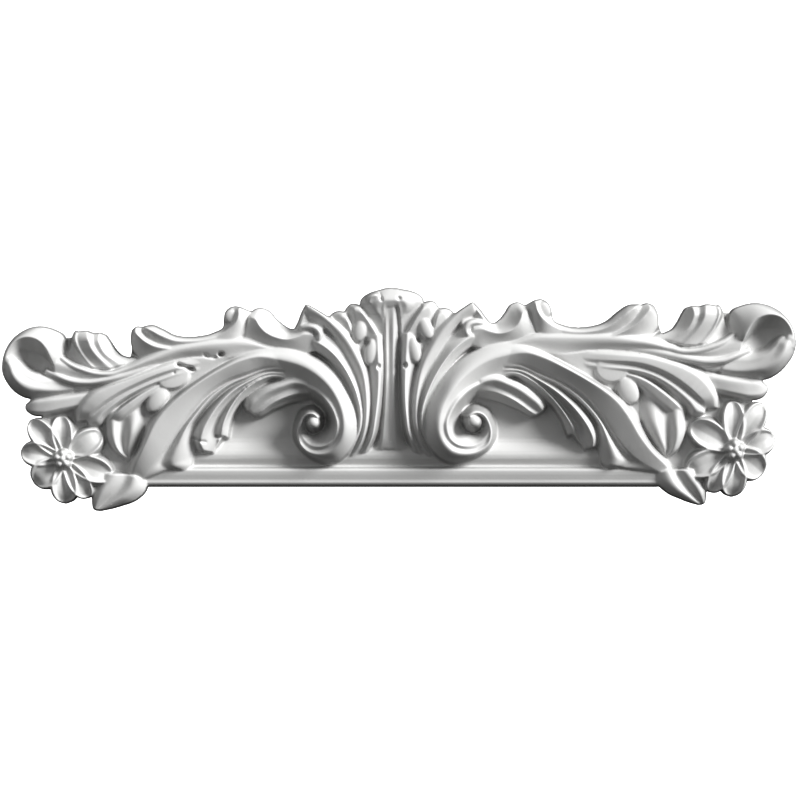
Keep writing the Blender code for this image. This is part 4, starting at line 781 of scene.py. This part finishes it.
def smooth_rim(mesh):
    """Even out the steps that the grid leaves along the outline."""
    edge_use = {}
    for face in mesh.polygons:
        for key in face.edge_keys:
            edge_use[key] = edge_use.get(key, 0) + 1
    rim = np.array([key for key, count in edge_use.items() if count == 1])
    place = np.array([corner.co[:] for corner in mesh.vertices])
    for _ in range(RIM_ROUNDS):
        total = np.zeros_like(place)
        np.add.at(total, rim[:, 0], place[rim[:, 1]])
        np.add.at(total, rim[:, 1], place[rim[:, 0]])
        ring = np.unique(rim)
        place[ring] = 0.5 * place[ring] + 0.25 * total[ring]
    mesh.vertices.foreach_set('co', place.ravel())
    return mesh


def thin_out(mesh, triangles):
    """Fewer triangles, kept where the carving bends."""
    carrier = bpy.data.objects.new('front', mesh)
    bpy.context.collection.objects.link(carrier)
    modifier = carrier.modifiers.new('thin', 'DECIMATE')
    modifier.ratio = triangles / sum(len(face.vertices) - 2 for face in mesh.polygons)
    shape = carrier.evaluated_get(bpy.context.evaluated_depsgraph_get())
    thinned = bpy.data.meshes.new_from_object(shape)
    bpy.data.objects.remove(carrier)
    return thinned


def close_behind(mesh):
    """Straight sides down to a flat back."""
    shell = bmesh.new()
    shell.from_mesh(mesh)
    rim = [edge for edge in shell.edges if edge.is_boundary]
    sides = bmesh.ops.extrude_edge_only(shell, edges=rim)['geom']
    for corner in sides:
        if isinstance(corner, bmesh.types.BMVert):
            corner.co.y = 0.0
    bmesh.ops.triangle_fill(shell, use_beauty=True, edges=[edge for edge in shell.edges if edge.is_boundary])
    bmesh.ops.triangulate(shell, faces=shell.faces[:])
    bmesh.ops.recalc_face_normals(shell, faces=shell.faces[:])
    shell.to_mesh(mesh)
    shell.free()
    return mesh


def press_flat(mesh):
    """Put the corners that lie on the wall exactly on it."""
    for corner in mesh.vertices:
        if corner.co.y > -NEAR_WALL * LEAST_HEIGHT * RISE:
            corner.co.y = 0.0
    return mesh


def painted_flank_shade(nodes, links, place, tone):
    """The primer's tone, with painted grey shade where the surface stands nearly square to the wall."""
    slope = nodes.new('ShaderNodeSeparateXYZ')
    facing = nodes.new('ShaderNodeMath')
    facing.operation = 'ABSOLUTE'
    flank = nodes.new('ShaderNodeMapRange')
    flank.inputs['From Min'].default_value = FLANK_SHADE_FULL
    flank.inputs['From Max'].default_value = FLANK_SHADE_ENDS
    # Painted shade: grey mixed into the primer's tone on the steep flanks
    flank_shade = nodes.new('ShaderNodeMix')
    flank_shade.data_type = 'RGBA'
    flank_shade.inputs['A'].default_value = FLANK_SHADE_TONE
    links.new(place.outputs['Normal'], slope.inputs['Vector'])
    links.new(slope.outputs['Y'], facing.inputs[0])
    links.new(facing.outputs['Value'], flank.inputs['Value'])
    links.new(flank.outputs['Result'], flank_shade.inputs['Factor'])
    links.new(tone.outputs['Color'], flank_shade.inputs['B'])
    return flank_shade.outputs['Result']


def casting_material():
    """Matt white primer: faint clouds of tone, a little grain, painted grey shade on the steepest flanks."""
    material = bpy.data.materials.new('casting')
    material.use_nodes = True
    nodes, links = material.node_tree.nodes, material.node_tree.links
    shader = nodes['Principled BSDF']
    place = nodes.new('ShaderNodeTexCoord')
    clouds = nodes.new('ShaderNodeTexNoise')
    clouds.inputs['Scale'].default_value = CLOUD_SCALE
    clouds.inputs['Detail'].default_value = 4
    tone = nodes.new('ShaderNodeValToRGB')
    tone.color_ramp.elements[0].position = 0.3
    tone.color_ramp.elements[0].color = DARKER_PRIMER
    tone.color_ramp.elements[1].position = 0.7
    tone.color_ramp.elements[1].color = LIGHTER_PRIMER
    matt = nodes.new('ShaderNodeMapRange')
    matt.inputs['To Min'].default_value = LEAST_ROUGH
    matt.inputs['To Max'].default_value = MOST_ROUGH
    grain = nodes.new('ShaderNodeTexNoise')
    grain.inputs['Scale'].default_value = GRAIN_SCALE
    grain.inputs['Detail'].default_value = 3
    bump = nodes.new('ShaderNodeBump')
    bump.inputs['Strength'].default_value = GRAIN_STRENGTH
    bump.inputs['Distance'].default_value = GRAIN_DEPTH
    links.new(place.outputs['Object'], clouds.inputs['Vector'])
    links.new(place.outputs['Object'], grain.inputs['Vector'])
    links.new(clouds.outputs['Fac'], tone.inputs['Fac'])
    links.new(painted_flank_shade(nodes, links, place, tone), shader.inputs['Base Color'])
    links.new(clouds.outputs['Fac'], matt.inputs['Value'])
    links.new(matt.outputs['Result'], shader.inputs['Roughness'])
    links.new(grain.outputs['Fac'], bump.inputs['Height'])
    links.new(bump.outputs['Normal'], shader.inputs['Normal'])
    return material


def build_casting():
    """The one visible piece, in place of the solid."""
    mesh = press_flat(close_behind(thin_out(smooth_rim(front_mesh()), FRONT_TRIANGLES)))
    mesh.name = 'casting'
    mesh.materials.append(casting_material())
    casting = bpy.data.objects.new('casting', mesh)
    bpy.context.collection.objects.link(casting)
    smooth_front(mesh)
    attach(casting, 'root')
    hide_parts('centrepiece')


def smooth_front(mesh):
    """Smooth shading in front; the straight sides and the back stay crisp."""
    for face in mesh.polygons:
        face.use_smooth = face.normal.y < -FRONT_TURN


def build_floor():
    """A dark floor well below, so that little light comes back up."""
    bpy.ops.mesh.primitive_circle_add(vertices=96, radius=FLOOR_RADIUS, fill_type='NGON',
                                      location=(0, 0, -FLOOR_DROP))
    floor = bpy.context.object
    floor.name = 'floor'
    material = bpy.data.materials.new('dark_floor')
    material.use_nodes = True
    shader = material.node_tree.nodes['Principled BSDF']
    shader.inputs['Base Color'].default_value = FLOOR_TONE
    shader.inputs['Roughness'].default_value = 0.9
    floor.data.materials.append(material)


def light_scene():
    """One wide low light from the upper right, and a white ground that lights only dimly."""
    key = bpy.data.lights.new('key', 'SUN')
    key.energy = KEY_STRENGTH
    key.angle = math.radians(KEY_WIDTH)
    lamp = bpy.data.objects.new('key', key)
    bpy.context.collection.objects.link(lamp)
    turn, height = math.radians(KEY_TURN), math.radians(KEY_HEIGHT)
    toward = Vector((math.cos(height) * math.cos(turn), -math.sin(height), math.cos(height) * math.sin(turn)))
    lamp.rotation_euler = toward.to_track_quat('Z', 'Y').to_euler()
    world = bpy.data.worlds.new('white')
    bpy.context.scene.world = world
    world.use_nodes = True
    nodes, links = world.node_tree.nodes, world.node_tree.links
    dim = nodes['Background']
    dim.inputs['Color'].default_value = WHITE
    dim.inputs['Strength'].default_value = GROUND_GLOW
    seen = nodes.new('ShaderNodeBackground')
    seen.inputs['Color'].default_value = WHITE
    seen.inputs['Strength'].default_value = BACKDROP_GLOW
    path = nodes.new('ShaderNodeLightPath')
    mix = nodes.new('ShaderNodeMixShader')
    links.new(path.outputs['Is Camera Ray'], mix.inputs['Fac'])
    links.new(dim.outputs['Background'], mix.inputs[1])
    links.new(seen.outputs['Background'], mix.inputs[2])
    links.new(mix.outputs['Shader'], nodes['World Output'].inputs['Surface'])


def place_camera():
    """Straight on, as far off as a long lens stands, framed like the picture."""
    camera = bpy.data.cameras.new('camera')
    camera.sensor_width = SENSOR
    camera.lens = SENSOR * (CAMERA_AWAY - SEEN_PLANE) / (PHOTO_WIDTH * UNIT)
    camera.dof.use_dof = False
    holder = bpy.data.objects.new('camera', camera)
    bpy.context.collection.objects.link(holder)
    holder.location = ((PHOTO_MIDDLE - DRAWN_CENTRE[0]) * UNIT, -CAMERA_AWAY, 0)
    holder.rotation_euler = (math.radians(90), 0, 0)
    bpy.context.scene.camera = holder


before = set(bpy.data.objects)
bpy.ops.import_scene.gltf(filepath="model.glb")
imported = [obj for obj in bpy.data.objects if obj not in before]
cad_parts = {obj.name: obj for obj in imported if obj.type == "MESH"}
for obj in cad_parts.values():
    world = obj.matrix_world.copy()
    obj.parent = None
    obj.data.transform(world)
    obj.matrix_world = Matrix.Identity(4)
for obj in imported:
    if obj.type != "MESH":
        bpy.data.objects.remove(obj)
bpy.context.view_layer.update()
bpy.context.scene.view_settings.view_transform = 'Standard'
bpy.context.scene.view_settings.look = 'High Contrast'
bpy.context.scene.view_settings.gamma = 0.9
build_casting()
build_floor()
light_scene()
place_camera()
